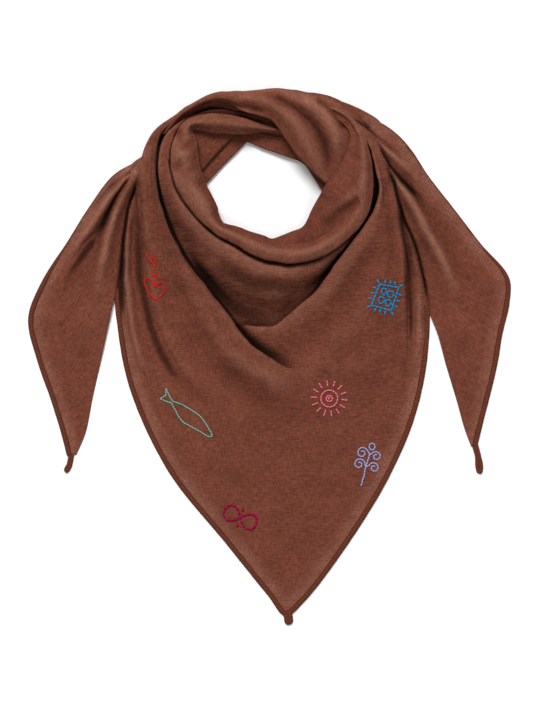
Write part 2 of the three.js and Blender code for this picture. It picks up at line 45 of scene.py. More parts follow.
CENTRE = (-1.65, 0.54, 0.0)
BODY = "root"
TINY = 1e-9

# The lowest that a piece lies above the floor
FLOOR_GAP = 0.05

# Cloth and folds. A tuck is how far a crease lies back under its fold, and a drop how far below.
CLOTH_THICKNESS = 0.9
FOLD_RADIUS = 1.9
FOLD_SHOULDER = 2.6
SHOULDER_SHARE = 0.4
PANEL_TUCK = 32
POCKET_TUCK = 28
ROLL_TUCK = 18
RIM_TUCK = 12
TUCK_DROP = 4.5
ROLL_DROP = 6.5
NAPE_DROP = 5.5
RIM_DROP = 8.5
TUCK_SHARE = 0.75
CREST_RISE = 4
POCKET_SHARES = (0, 0.3, 0.7, 0.93, 1)
POCKET_FALL = 5.5
SLOT_SHARE = 0.65
LEFT_CREASE_SHARE = 0.35
NECK_CREASE_SHARE = 0.3
GROOVE_DEPTH = 8
LEFT_CLEARANCE = 3.5
RIGHT_CLEARANCE = 9
LOWEST = 0.8
PANEL_SHARES = (0.2, 0.45, 0.75)
PANEL_STEEPNESS = ((20, 2.2), (180, 0.6))
NAPE_CROWN = ((0.3, 5), (0.62, 4))
NAPE_HANG = (0.9, 0.22)
BAND_SHARES = (0, 0.25, 0.5, 0.75, 1)
PLEAT_FADE = (0.12, 0.3)

# The gauze's waves, crossing streaks and fine crinkles: height, and length each way of the threads
CRINKLES = ((0.8, 40, 40), (0.45, 36, 10), (0.45, 10, 36), (0.16, 7, 7))

# The sections of the front drape that the hem starts and ends at
HEM_FIRST = 9
HEM_LAST = 21

# Hems. A stitch pulls the hem in to its low height, and between stitches it swells by shares of its
# width and height. It narrows between two values of the plan's y, on the way to the nape.
HEM_WIDTH = 5.6
HEM_HEIGHT = 2.3
CLOTH_INSET = 2.8
STITCH_PITCH = 3.4
WIDTH_SWELL = 0.05
LOW_HEIGHT = 0.9
HEIGHT_SWELL = 0.16
HEM_FADE = 16
HEM_END_SHARE = 0.25
NARROW_HEM = (70, 125)
NARROWING = 0.5
HEM_WANDER = 9
WANDER_SHARE = 0.06
HEM_SQUARENESS = 0.8

# Tabs. Their strands part from one share of the length on, and close round the end of the loop.
TAB_HEIGHT = 2.4
STRAND_SHARE = 0.3
PARTING_SHARE = 0.45
LOOP_END = 1.04
LOOP_ROUNDING = 0.14
TAB_WOBBLE = 0.08
TAB_WOBBLE_POINTS = 5
RING = np.array([(math.cos(a), math.sin(a)) for a in np.linspace(0, 2 * math.pi, 14, endpoint=False)])

# Each tab's name and node, the line down its middle, its width, how far its strands part, its seed
TABS = (
    ("front_tab_loop", "front_tab", [(18.0, -281.5, 0), (19.2, -287, 0), (19.7, -292.2, 0)], 9.8, 0.0, 201),
    ("left_tab_loop", "left_tail_tab",
     [(-219.2, -107, 0), (-220.6, -114, 0), (-221.8, -119.5, 0), (-225.4, -126, 0)], 6.2, 0.1, 202),
    ("right_tab_loop", "right_tail_tab",
     [(224.6, -98, 0), (227.4, -108, 0), (228.6, -116, 0), (229.4, -127, 0)], 7.0, 0.55, 203),
)

# Embroidery. Lift and arch are shares of a thread's thickness, and an arc's step is in degrees.
STITCH_POINTS = 7
THREAD_SIDES = 8
STITCH_WANDER = 0.12
THREAD_LIFT = 0.1
THREAD_ARCH = 0.4
THREAD_FLATNESS = 0.8
STITCH_BLUNTNESS = 6
STITCH_END = 0.4
ARC_STEP = 15
SUN_RAYS = 14
FIRST_FIGURE_SEED = 301

# Painted shade: how dark the bottom of a deep pleat and of a gap under a fold is painted
PLEAT_PAINTED_SHADE = 0.8
PLEAT_DEPTHS = (3, 9)
DEEPEST_PAINTED_SHADE = 0.94

# Painted shade in crevices where two pieces meet: a line, the shade's width at its start and end, and its
# strength
SEAM_FADE = (0.08, 0.3)
PAINTED_SEAM_SHADES = [
    ([(127, 212), (131, 199), (134.6, 191.4), (137.3, 180), (140.8, 166.6), (144.3, 155.6), (147.8, 147),
      (151.8, 139), (155.2, 131), (158.5, 122.7), (161.2, 114), (163.5, 106), (166, 95), (168.3, 84),
      (170.7, 72), (172.8, 62), (174.5, 50), (176, 36), (177, 22)], 2.8, 2.0, 1.0),
    ([(117.5, 231.7), (124.4, 218.9), (130.3, 210.1), (137.2, 201.2), (144.1, 193.4), (152.9, 184.5),
      (160.8, 175.7), (174.5, 158)], 1.3, 4.2, 0.95),
    ([(141, 162), (144.6, 142.3), (147.6, 122.7), (150.7, 106), (152, 88), (153.2, 66), (155, 48)],
     1.5, 1.6, 0.8),
    ([(-147, 196), (-151.5, 180.4), (-154.5, 172.5), (-157.5, 160.8), (-160, 145), (-162, 131.3),
      (-163.8, 111.7), (-165, 95), (-166.2, 80), (-168, 58), (-170, 44)], 1.8, 3.8, 1.0),
    ([(-163.2, 112), (-163.9, 100), (-165.6, 84), (-165.6, 68), (-166, 51), (-166, 36)], 3.6, 6.2, 0.85),
    ([(-113, 222), (-110.4, 205.2), (-107.5, 196), (-104.8, 186.9), (-99.2, 177.1), (-92.2, 165.1),
      (-85.9, 157.4), (-78.1, 149.7)], 1.3, 1.3, 0.7),
    ([(-153.5, 199.1), (-163.4, 186.3), (-171.2, 174.5), (-177.1, 162.7), (-181, 154.9), (-185, 146),
      (-192.8, 133.3), (-202.6, 121.5)], 1.2, 4.6, 0.95),
    ([(141, 165), (147, 139), (152, 122), (156, 104)], 4.2, 3.2, 0.5),
    ([(90, 260), (97, 256.5), (104, 251.5), (110, 247), (118, 240)], 1.3, 1.5, 0.8),
]

# The front panel's crinkles stand upright left of the first x and lie level right of the second
UPRIGHT_BOUNDS = (-80, 30)

# The open, paler weave along the hems: how wide it is, how much of that is fully open, and the step
# between the points of the outline that it is measured from
FRONT_BAND = 22
TAIL_BAND = 20
FULL_BAND_SHARE = 0.35
OUTLINE_STRIDE = 6

# The middle of the wedge of painted shade beside the left fold, and how dark it is painted at each point
WEDGE = np.array([
    (-94, 113, 20), (-83, 98, 20), (-71, 84, 20), (-59, 70, 20), (-46, 58, 20), (-32, 50, 20),
    (-16, 44.5, 20), (-1, 41, 20), (21, 40, 20),
])
WEDGE_PAINTED_SHADES = (0.2, 0.95, 1, 0.95, 0.85, 0.75, 0.7, 0.55, 0.25)

# The soft shade across the pocket below the roll, and how dark it is at each point
POCKET_SHADE = np.array([
    (-64, 108, 60), (-52, 99, 60), (-40, 92, 60), (-29, 85, 60), (-17, 80, 60), (-6, 79, 60),
    (4, 79, 60), (16, 77, 60), (27, 74, 60), (40, 74, 60),
])
POCKET_SHADES = (0, 0.4, 0.6, 0.62, 0.62, 0.62, 0.6, 0.5, 0.35, 0)

# The painted shade along the left fold's lip and behind it: how far beside the lip it reaches, how far
# below it, and how dark the lip is painted, evenly from under the nape round to the right shoulder
LEFT_LIP_REACH = (0, 6.5)
LEFT_LIP_DEPTHS = (-6, -5)
BEHIND_REACH = (4, 15)
BEHIND_DEPTHS = (0.8, 6)
LEFT_LIP_PAINTED_SHADES = (0, 0, 0.35, 0.45, 0.25, 0.1, 0, 0, 0, 0, 0)

# How dark the painted shade is under the roll's outer edge, along the same way
ROLL_EDGE_PAINTED_SHADES = (0.7, 0.7, 0.9, 1, 0.6, 0.3, 0.3, 0.5, 0.7, 0.7, 0.7)

# Crests get a painted highlight and valleys painted shade: how far round a point is looked, and the full
# depth
RELIEF_REACH = 7
RELIEF_DEPTH = 4

# Painted light: one layer near the floor is painted lighter, as if light from the pale floor came through
# it, fully at the first height and not at all at the second
PAINTED_FLOOR_LIGHT_HEIGHTS = (1, 9)

# The gauze's textures: how often each one varies along the threads and across them
CRINKLE_SCALE = (25, 6)
THREAD_SCALE = (62, 14)
CROSSING_SCALE = (16, 50)
WANDER_SCALE = (1.6, 1.6)
MOTTLE_SCALE = (3.2, 3.2)
SPECK_SCALE = (84, 50)
PATCH_SCALE = (6, 6)
GRIT_SCALE = (95, 95)

# Colours are sRGB, apart from the floor's. Tones multiply the gauze's colour, the darkest first.
GAUZE_COLOUR = (105, 58, 44)
# The paler colour mixed on to crests as a painted highlight
PAINTED_HIGHLIGHT_COLOUR = (196, 146, 122)
OPEN_WEAVE_COLOUR = (172, 126, 108)
HEM_COLOUR = (90, 46, 32)
FLOOR_COLOUR = (0.93, 0.93, 0.93, 1.0)
WEAVE_TONES = (0.73, 1.27)
MOTTLE_TONES = (0.88, 1.12)
# Painted light on one layer near the floor
PAINTED_FLOOR_LIGHT_TONE = 1.04
# Painted shade in valleys, and how much of the painted highlight crests get
PAINTED_VALLEY_SHADE = 0.56
PAINTED_HIGHLIGHT_SHARE = 0.19

# Mesh steps, plan millimetres to one unit of grain, and the size of the table of noise
GRAIN_UNIT = 100
LATTICE = 256
CURVE_STEPS = 6
PANEL_STEP = 3.65
ROLL_STEP = 2.6
BAND_STEP = 2.2
HEM_STEP = 1.4
TAB_STEP = 0.8

# The camera looks straight down from its point on the plan. Heights and the stage are in metres.
CAMERA_POINT = (-4.95, 1.1)
CAMERA_HEIGHT = 4.0
VIEW_HEIGHT = 0.7821
SENSOR = 36.0
FLOOR_SIZE = 6.0
WORLD_STRENGTH = 0.34
SOFTBOXES = (
    ("key_light", (-1.3, 4.6, 5.4), 3.2, 545),
    ("fill_light", (1.8, -2.6, 4.0), 2.0, 30),
)

# The front drape, a row for each section round the neck, from under the nape wrap, over the
# left shoulder, round the front and up to the right shoulder. Its columns are the edge, the left,
# right and roll lips, the neck and the rim, then the left fold and the neck fold, which are 1 where
# that fold is fully turned under and 0 where it has faded out, and the pocket's lowest and highest.
FRONT_SECTIONS = [
    ((30, 284, 5), (28, 273, 8), (27, 266, 9), (25, 250, 12),
     (24, 243, 11), (22, 238, 7), 0, 1, 7, 7),
    ((-5, 289, 5), (-4, 272, 12), (-4, 266, 12), (0, 252, 16),
     (0, 245, 13), (2, 240, 8), 0, 1, 10, 10),
    ((-30, 289, 4), (-31, 275, 15), (-31, 269, 13), (-30, 261, 21),
     (-30, 243, 17), (-28, 247, 9), 0, 1, 11, 11),
    ((-62, 288, 3), (-62, 279, 16), (-61, 273, 13), (-60, 266, 24),
     (-60, 244, 19), (-58, 249, 10), 0, 1, 12, 13),
    ((-97, 270, 3), (-96, 265, 16), (-94, 262, 11), (-91, 259, 26),
     (-85, 247, 20), (-87, 250, 11), 0.1, 1, 15, 18),
    ((-128, 248, 3), (-121, 244, 18), (-119, 243, 7), (-106, 238, 28),
     (-82, 238, 21), (-85, 239, 11), 0.6, 1, 19, 22),
    ((-143, 214, 4), (-126.6, 214, 20), (-127.4, 214, 4), (-110, 213, 30),
     (-79, 214, 21), (-82, 214, 10), 1, 1, 21, 24),
    ((-154, 177.5, 3), (-124, 180, 20), (-125, 180, 3), (-104, 183, 30),
     (-71, 190, 20), (-74, 191, 8), 1, 1, 17, 24),
    ((-164, 130, 0.5), (-107.8, 133, 19), (-109, 132.5, 3), (-86, 158, 29),
     (-61, 167, 19), (-65, 168, 6), 1, 1, 9, 23),
    ((-172.5, 82, 0), (-89, 99, 17), (-90, 98, 3), (-64, 137, 28),
     (-53, 147, 18), (-56, 149, 5), 1, 1, 5, 21),
    ((-169, 34, 0), (-70.5, 75, 16), (-71, 73.5, 3), (-44, 125, 27),
     (-36, 140.5, 18), (-38, 143, 4), 1, 1, 4, 21),
    ((-155, -36, 0), (-47, 45, 15), (-40, 37, 6), (-25, 114, 26),
     (-20, 134, 18), (-21, 137, 4), 1, 1, 4, 20),
    ((-113, -126, 0), (-31, 22, 15), (-24, 34, 9), (-8, 106, 26),
     (-8, 129.5, 18), (-8, 133, 4), 1, 1, 5, 19),
    ((-50, -205, 0), (-14, 7, 14), (-8, 33, 10), (5, 103.5, 26),
     (2, 126.5, 19), (1, 129.5, 4), 1, 1, 6, 19),
    ((-4, -262, 0), (2, -3, 13), (5, 35, 11), (16, 102, 26),
     (14, 124, 20), (11, 132.5, 5), 0.85, 1, 6, 19),
    ((16, -285.5, 0), (16, -11, 12), (16, 43.5, 11), (28, 102.5, 26),
     (28, 123.5, 20), (23, 137.5, 6), 0.6, 1, 5, 19),
    ((37, -269, 0), (33, -16, 11), (30, 55, 12), (45, 106, 26),
     (44, 125.5, 20), (34, 142, 8), 0.25, 1, 5, 18),
    ((84, -207, 0), (57, -10, 11), (45, 67, 13), (62, 113, 27),
     (59, 133, 21), (39, 149, 10), 0, 0.9, 4, 18),
    ((130, -132, 0), (82, 8, 11), (62, 89, 16), (80, 125, 27),
     (74, 144, 23), (44, 160, 13), 0, 0.6, 4, 15),
    ((160, -60, 0), (102, 38, 13), (81, 115, 19), (96, 141, 28),
     (84, 157, 26), (50, 171, 16), 0, 0.2, 4, 13),
    ((173, 10, 0), (120, 80, 16), (99, 139, 22), (108, 161, 29),
     (89, 175, 31), (56, 181, 19), 0, 0, 5, 12),
    ((172.5, 70, 0), (130, 120, 18), (113, 160, 25), (112, 184, 30),
     (90, 193, 33), (63, 194, 22), 0, 0, 6, 10),
    ((153.5, 136, 1), (131, 162, 19), (119, 184, 26), (111, 207, 30),
     (92, 210, 34), (75, 209, 25), 0, 0, 7, 9),
    ((134.5, 190, 7), (126.5, 198, 21), (114.5, 206, 26), (106, 229, 30),
     (94, 229, 32), (84, 228, 28), 0, 0, 10, 12),
    ((122.5, 225, 11), (116.5, 223.5, 20), (107.5, 230.5, 23), (97, 249, 28),
     (92, 246, 28), (87, 243, 25), 0, 0, 13, 14),
    ((107, 248.5, 9), (102, 246.5, 16), (97.5, 250.5, 17), (84, 265, 22),
     (79, 262, 22), (75, 258, 20), 0, 0, 12, 12),
    ((82, 268, 5), (78, 264, 8), (73, 265, 9), (61, 279, 13),
     (56, 272, 13), (51, 266, 11), 0, 0, 8, 8),
]

# The nape wrap: inner edge on its neck side, outer edge at the back.
NAPE_SECTIONS = [
    ((-114, 243, 9), (-124, 245, 2)),
    ((-101, 259, 14), (-110, 261, 3)),
    ((-82, 273, 20), (-88, 277, 3)),
    ((-57, 280, 25), (-60, 289, 3)),
    ((-27, 267, 29), (-28, 292, 2)),
    ((0, 258, 29), (5, 295, 2)),
    ((14, 240, 28), (35, 291, 2)),
    ((35, 213, 24), (66, 285, 2)),
    ((62, 189, 18), (92, 270, 5)),
    ((78, 178, 12), (108, 244, 12)),
]

# The left tail: first its soft long edge, then its hemmed edge.
LEFT_TAIL_SECTIONS = [
    ((-126, 206, 8), (-122, 232, 9)),
    ((-145, 191, 4), (-147, 216.5, 5)),
    ((-155, 165, 2), (-174, 200.5, 5)),
    ((-160, 138, 1), (-200, 167, 2)),
    ((-163, 108, 1), (-224, 129, 1)),
    ((-169, 77, 1), (-251, 85, 0)),
    ((-177, 42, 4), (-267, 42, 0)),
    ((-186, 0, 2), (-258.5, 0, 0)),
    ((-196, -45, 0), (-242, -48, 0)),
    ((-204, -84, 0), (-230, -87, 0)),
    ((-214, -108, 0), (-224.5, -109, 0)),
]

# The right tail, in the same two columns.
RIGHT_TAIL_SECTIONS = [
    ((60, 279, 10), (62, 285.5, 6)),
    ((84, 264, 8), (90, 275.5, 6)),
    ((100, 249, 6), (114, 263, 6)),
    ((111, 231, 5), (140, 245, 5)),
    ((121, 204, 4), (156, 227, 5)),
    ((130, 175, 2), (174, 199.5, 4)),
    ((141, 147, 1), (201, 165, 2)),
    ((151, 116, 1), (231, 126, 1)),
    ((162, 87, 1), (262, 87, 0)),
    ((171, 55, 1), (262, 58, 0)),
    ((183, 25, 3), (254.5, 25, 0)),
    ((192, -8, 1), (248.5, -10, 0)),
    ((204, -48, 0), (239, -50, 0)),
    ((213, -80, 0), (231, -81, 0)),
    ((220, -99, 0), (226.5, -100, 0)),
]

# Three low layers that show through the neck hollow's far side, in the same two columns.
BACK_LAYERS = [
    [
        ((-80, 181, 3), (-96, 196, 6)),
        ((-71, 190, 3), (-90, 212, 6)),
        ((-50, 212, 3), (-72, 236, 6)),
        ((-26, 236, 3), (-45, 260, 6)),
        ((-8, 252, 3), (-20, 276, 5)),
    ],
    [
        ((-84, 190, 8), (-98, 204, 12)),
        ((-77, 202, 9), (-96, 222, 13)),
        ((-62, 220, 9), (-85, 247, 13)),
        ((-42, 241, 9), (-60, 262, 12)),
        ((-25, 254, 9), (-38, 272, 10)),
    ],
    [
        ((-52, 243, 5), (-60, 272, 6)),
        ((-26, 235.5, 5), (-30, 274, 7)),
        ((-9, 228.5, 5), (0, 274, 7)),
        ((14, 220.5, 5), (32, 270, 8)),
        ((35, 212, 5), (62, 252, 9)),
        ((47, 196, 6), (82, 226, 12)),
        ((57, 181, 7), (92, 204, 14)),
        ((70, 166, 8), (100, 184, 14)),
    ],
]

# Pleats: the line down the middle of each, its height, which is below 0 in a valley, and its width
PANEL_PLEATS = [
    ([(-134, 240), (-141.5, 208), (-141.5, 185), (-139.5, 155), (-136, 128), (-120, 95)], 6.5, 7),
    ([(-147, 208), (-149, 192), (-147, 172), (-146, 150), (-146, 115), (-144.5, 82), (-139.5, 56),
      (-134.5, 32), (-125, 8), (-112, -15), (-100, -30), (-84, -46), (-58, -68)], -8, 7.5),
    ([(-153, 185), (-157.5, 135), (-159, 98), (-158.5, 62), (-154, 26), (-145, -6), (-131, -36)], 5, 4.5),
    ([(-163, 124), (-166, 100), (-167.5, 78), (-166.5, 56), (-162.5, 28), (-155, -4)], -4.5, 3.5),
    ([(-104, 108), (-90, 76), (-66, 30), (-46, 4), (-17, -17), (12, -32), (44, -50)], 3.2, 10),
    ([(-108, 92), (-113, 52), (-98, 20), (-68, -14), (-34, -36), (4, -58), (34, -86)], -3.2, 14),
]
ARM_PLEATS = [
    ([(126, 168), (117, 142), (91, 107), (60, 64), (35, 42)], 2.5, 9),
    ([(122, 130), (103, 90), (81, 52), (43, 14), (18, -10)], -3.5, 13),
    ([(126, 200), (129, 174), (132, 144), (134, 110), (132, 80)], -3, 6),
    ([(131, 200), (134, 180), (139, 150), (144, 116), (147, 70), (147, 0)], 3, 4),
    ([(141, 168), (144.6, 142), (148.4, 122), (152, 98), (154.5, 70), (156, 40), (156, 10), (154, -30)],
     -8, 3.6),
    ([(148, 136), (157, 112), (163, 88), (166, 60), (166, 20), (161, -20)], 5, 4.5),
    ([(60, -20), (100, -8), (140, 20)], 1.6, 12),
]
ROLL_PLEATS = [
    ([(-108, 213), (-98, 205), (-91, 199), (-84, 193), (-76, 187), (-68, 182)], -3.5, 8),
    ([(-104, 250), (-96, 232), (-90, 222)], -4, 6),
    ([(-86, 204), (-76, 176), (-60, 158)], 2, 6),
    ([(98, 172), (84, 162), (70, 150), (50, 138)], -4, 6),
    ([(104, 204), (98, 182), (84, 170), (66, 160)], 2.5, 6),
    ([(100, 240), (102, 216), (98, 196)], 2, 8),
    ([(-100, 118), (-80, 93), (-60, 75), (-20, 56), (4, 50), (24, 48)], -3, 6),
    ([(-92, 130), (-70, 103), (-40, 80), (0, 68), (30, 66), (56, 84)], 2.5, 8),
]
LEFT_TAIL_PLEATS = [
    ([(-146, 206), (-151, 200), (-163.4, 180), (-173, 156), (-181, 126), (-188, 95), (-193, 56)], 9, 7),
    ([(-148, 205), (-153.5, 199), (-163.4, 186), (-171.2, 174.5), (-177, 163), (-185, 146), (-193, 133),
      (-203, 121), (-221, 97), (-235, 70), (-243, 40)], -6, 4.5),
    ([(-192, 134), (-206, 110), (-217, 88), (-226, 66), (-231, 42)], -4, 11),
    ([(-152, 204), (-168, 188), (-183, 171), (-198, 146), (-212, 126), (-232, 98)], 6, 6),
    ([(-146, 210), (-163, 198), (-177, 186.5), (-188, 174), (-200, 158)], -4, 3),
    ([(-196, 84), (-207, 62), (-217, 50), (-229, 38), (-242, 28)], -1.6, 3),
]
RIGHT_TAIL_PLEATS = [
    ([(104, 247), (108.7, 243.5), (120.5, 234.6), (131.3, 224.8), (144, 213), (157, 201), (176, 180)], 8, 7),
    ([(108, 244), (117.5, 231.7), (124.4, 219), (130.3, 210), (137.2, 201), (144, 193.4), (153, 184.5),
      (161, 175.7), (174.5, 158), (190, 138)], -5.5, 4.5),
    ([(124, 214), (131.3, 205), (137.2, 197.3), (147, 183.5), (157, 167), (168.6, 144.3), (182, 120),
      (194, 96), (201, 78), (206, 56)], 9, 6.5),
    ([(91, 259), (100, 254), (109.7, 247.4), (127.4, 232.7), (140, 223.8), (152, 212)], -5, 3.2),
]
NAPE_PLEATS = [
    ([(-40, 288), (0, 277), (24, 256), (42, 226), (56, 196)], 4, 7),
    ([(-12, 288), (10, 281), (28, 271), (42, 259), (52, 247), (59, 233), (62, 218), (63, 200), (61, 178)],
     -6.5, 6.5),
    ([(28, 285), (58, 268), (73, 242), (72, 216)], 4, 7),
    ([(-60, 276), (-26, 272), (-2, 264)], -3, 4),
    ([(48, 283), (74, 262), (84, 244)], -5, 4),
]


def place(points):
    """Frame metres from plan millimetres."""
    return (np.asarray(points, float) - np.array(CENTRE)) * MM


# Section lines

def level_run(a, b):
    return np.hypot(b[0] - a[0], b[1] - a[1])


def towards(start, end, distance, lift=0.0):
    """A point a level distance from one point towards another, and lifted."""
    x, y = start[:2] + (end[:2] - start[:2]) * distance / max(level_run(start, end), TINY)
    return np.array([x, y, start[2] + lift])


def under(lip, back, depth, drop):
    """A crease that lies under a fold, on the way back towards another knot."""
    return towards(lip, back, min(depth, level_run(lip, back) * TUCK_SHARE), -drop)


def between(a, b, share, height=None):
    middle = a + (b - a) * share
    if height is not None:
        middle[2] = height
    return middle


def plain(*points):
    """Knots that have no lip."""
    return [(point, 0, 0) for point in points]


def shoulder(lip, neighbour, lift, folded):
    """A point just beside a lip: round the fold where folded is 1, on the slope where it is 0."""
    run = max(level_run(lip, neighbour), TINY)
    reach = min(FOLD_SHOULDER, run * SHOULDER_SHARE)
    slope = (neighbour[2] - lip[2]) * reach / run
    return towards(lip, neighbour, reach, lift + slope * (1 - folded))


def round_folds(knots):
    """Points of one section. A knot is (point, lip, folded): a lip gets a shoulder on both sides."""
    points = []
    for index, (at, lip, folded) in enumerate(knots):
        if not lip:
            points.append(at)
            continue
        height = FOLD_RADIUS * lip * folded
        before, after = knots[index - 1][0], knots[index + 1][0]
        points += [shoulder(at, before, height, folded), at, shoulder(at, after, -height, folded)]
    return np.array(points)


def height_along(knots, distance):
    """Height of a run of knots at a level distance from the first one."""
    runs = [level_run(a, b) for a, b in zip(knots[:-1], knots[1:])]
    return np.interp(distance, np.cumsum([0, *runs]), [knot[2] for knot in knots])


def hidden_crease(lip, back, depth, drop, surface, clearance):
    """A crease under a fold that also stays below the surface over it."""
    crease = under(lip, back, depth, drop)
    over = height_along(surface, level_run(lip, crease))
    crease[2] = max(min(crease[2], over - clearance), LOWEST)
    return crease


def front_section(row):
    """From the hem up to the left and right folds, under them as the pocket, and over the roll."""
    edge, left_lip, right_lip, roll_lip, neck, rim = (np.array(p, float) for p in row[:6])
    left_fold, neck_fold, pocket_low, pocket_high = row[6:]
    (low, low_power), (high, high_power) = PANEL_STEEPNESS
    power = np.interp(left_lip[1], (low, high), (low_power, high_power))
    rise = left_lip[2] - edge[2]
    panel = [between(edge, left_lip, s, edge[2] + rise * s ** power) for s in PANEL_SHARES]
    surface = [left_lip, *panel[::-1], edge]
    left_under = hidden_crease(left_lip, edge, PANEL_TUCK, TUCK_DROP, surface, LEFT_CLEARANCE)
    left_crease = between(between(left_lip, right_lip, LEFT_CREASE_SHARE), left_under, left_fold)
    groove = max(min(left_lip[2] - GROOVE_DEPTH, right_lip[2] - 1), LOWEST)
    slot = between(left_lip, right_lip, SLOT_SHARE * (1 - left_fold))
    slot[2] += (groove - slot[2]) * left_fold
    surface = [right_lip, *surface]
    right_crease = hidden_crease(right_lip, edge, POCKET_TUCK, TUCK_DROP, surface, RIGHT_CLEARANCE)
    right_crease[2] = max(right_crease[2] - TUCK_DROP * left_fold, LOWEST)
    pocket_start = max(min(right_lip[2] - GROOVE_DEPTH, pocket_low), LOWEST)
    pocket_end = pocket_high - POCKET_FALL
    heights = (pocket_start, pocket_low, pocket_high, pocket_high + 1, pocket_end)
    pocket = [between(right_lip, roll_lip, s, height) for s, height in zip(POCKET_SHARES, heights)]
    roll_crease = under(roll_lip, neck, ROLL_TUCK, ROLL_DROP)
    roll_crease[2] = min(roll_crease[2], pocket_end)
    crest = between(roll_lip, neck, 0.5, max(roll_lip[2], neck[2]) + CREST_RISE)
    neck_under = under(neck, roll_lip, RIM_TUCK, RIM_DROP)
    neck_crease = between(between(neck, rim, NECK_CREASE_SHARE), neck_under, neck_fold)
    return round_folds([
        *plain(edge, *panel), (left_lip, 1, left_fold), *plain(left_crease, slot),
        (right_lip, 1, 1), *plain(right_crease, *pocket, roll_crease), (roll_lip, -1, 1),
        *plain(crest), (neck, 1, neck_fold), *plain(neck_crease, rim),
    ])


# Rows of a front section: where the left lip's shoulder starts, the left lip, where the right lip's
# shoulder starts, and the crease where the panel ends and the roll starts. The last two are rows of
# the roll: the crease under it and its outer lip.
LEFT_SHOULDER_ROW = 4
LEFT_LIP_ROW = 5
RIGHT_SHOULDER_ROW = 9
RIGHT_CREASE_ROW = 12
ROLL_CREASE_ROW = 6
ROLL_LIP_ROW = 8


def nape_section(row):
    inner, outer = (np.array(p, float) for p in row)
    tucked = under(inner, outer, RIM_TUCK, NAPE_DROP)
    crown = [between(inner, outer, s, inner[2] + rise) for s, rise in NAPE_CROWN]
    share, fall = NAPE_HANG
    hang = between(inner, outer, share, inner[2] + (outer[2] - inner[2]) * fall)
    return round_folds([*plain(tucked), (inner, -1, 1), *plain(*crown, hang, outer)])


def band_section(row):
    inner, outer = (np.array(p, float) for p in row)
    return np.array([between(inner, outer, s) for s in BAND_SHARES])


# Lofting

def smooth_samples(points, steps):
    """Centripetal Catmull-Rom samples along axis 0, with steps[i] of them in gap i."""
    line = np.concatenate([2 * points[:1] - points[1:2], points, 2 * points[-1:] - points[-2:-1]])
    samples = []
    for gap, count in enumerate(steps):
        p0, p1, p2, p3 = line[gap:gap + 4]
        spans = [np.sum((b - a) ** 2, axis=-1, keepdims=True) for a, b in ((p0, p1), (p1, p2), (p2, p3))]
        d0, d1, d2 = (np.maximum(span, 1e-8) ** 0.25 for span in spans)
        t1 = ((p1 - p0) / d0 - (p2 - p0) / (d0 + d1) + (p2 - p1) / d1) * d1
        t2 = ((p2 - p1) / d1 - (p3 - p1) / (d1 + d2) + (p3 - p2) / d2) * d1
        cubic = 2 * (p1 - p2) + t1 + t2
        square = 3 * (p2 - p1) - 2 * t1 - t2
        samples += [p1 + t1 * s + square * s ** 2 + cubic * s ** 3 for s in np.arange(count) / count]
    samples.append(line[-2])
    return np.array(samples)


def curve(points):
    """A smooth line through points."""
    return smooth_samples(np.array(points, float), [CURVE_STEPS] * (len(points) - 1))


def steps_for(lines, step, least=1):
    """How many steps each gap along axis 0 takes, from its widest line."""
    gaps = np.linalg.norm(np.diff(lines, axis=0), axis=-1).max(axis=1)
    return [max(least, int(round(gap / step))) for gap in gaps]


def loft(sections, step):
    """A grid of points, along the sections and across them, and where each knot lies on both."""
    along = steps_for(sections, step)
    columns = smooth_samples(sections, along).transpose(1, 0, 2)
    across = steps_for(columns, step, 2)
    grid = smooth_samples(columns, across).transpose(1, 0, 2)
    return grid, np.cumsum([0, *along]), np.cumsum([0, *across])


def nearest_on_line(points, line):
    """Distance to a plan line, and how far along it the nearest point is, from 0 to 1."""
    nearest = np.full(points.shape[:-1], np.inf)
    share = np.zeros(points.shape[:-1])
    for i, (a, b) in enumerate(zip(line[:-1], line[1:])):
        a, b = np.array(a[:2], float), np.array(b[:2], float)
        run = b - a
        along = np.clip(((points - a) @ run) / (run @ run), 0, 1)
        away = np.linalg.norm(points - a - along[..., None] * run, axis=-1)
        closer = away < nearest
        nearest = np.where(closer, away, nearest)
        share = np.where(closer, (i + along) / (len(line) - 1), share)
    return nearest, share


def smoothstep(value, low, high):
    t = np.clip((value - low) / (high - low), 0, 1)
    return t * t * (3 - 2 * t)


def faded_ends(share, fades):
    """Rises from 0 to 1 over the first share of a line, and falls again over its last one."""
    return smoothstep(share, 0, fades[0]) * smoothstep(1 - share, 0, fades[1])


def pleat_height(points, pleats):
    """Height that the pleats add at plan points, fading out at both ends of each line."""
    height = np.zeros(points.shape[:-1])
    for line, rise, width in pleats:
        away, share = nearest_on_line(points, line)
        height += rise * faded_ends(share, PLEAT_FADE) * np.exp(-((away / width) ** 2))
    return height


def lattice_noise(u, v, seed):
    """Smooth noise from -1 to 1 on a unit lattice, the same on every run."""
    table = np.random.RandomState(seed).rand(LATTICE, LATTICE) * 2 - 1
    i, j = np.floor(u).astype(int), np.floor(v).astype(int)
    s, t = smoothstep(u - i, 0, 1), smoothstep(v - j, 0, 1)

    def row(step):
        at = (j + step) % LATTICE
        return table[i % LATTICE, at] * (1 - s) + table[(i + 1) % LATTICE, at] * s

    return row(0) * (1 - t) + row(1) * t


def crinkled(grid, grain, seed):
    """The grid with the gauze's soft waves and crossing thread streaks, raised along its normals."""
    u, v = grain[..., 0], grain[..., 1]
    height = np.zeros(u.shape)
    for order, (rise, length, width) in enumerate(CRINKLES):
        height += rise * lattice_noise(u / length, v / width, seed + order)
    return grid + grid_normals(grid) * height[..., None]


def blurred(values, axis, reach):
    """Averages of the values over some samples to each side along an axis."""
    padding = [(0, 0), (0, 0)]
    padding[axis] = (reach + 1, reach)
    sums = np.cumsum(np.pad(values, padding, mode="edge"), axis=axis)
    count, width = values.shape[axis], 2 * reach + 1
    upper = np.take(sums, np.arange(width, width + count), axis=axis)
    return (upper - np.take(sums, np.arange(count), axis=axis)) / width


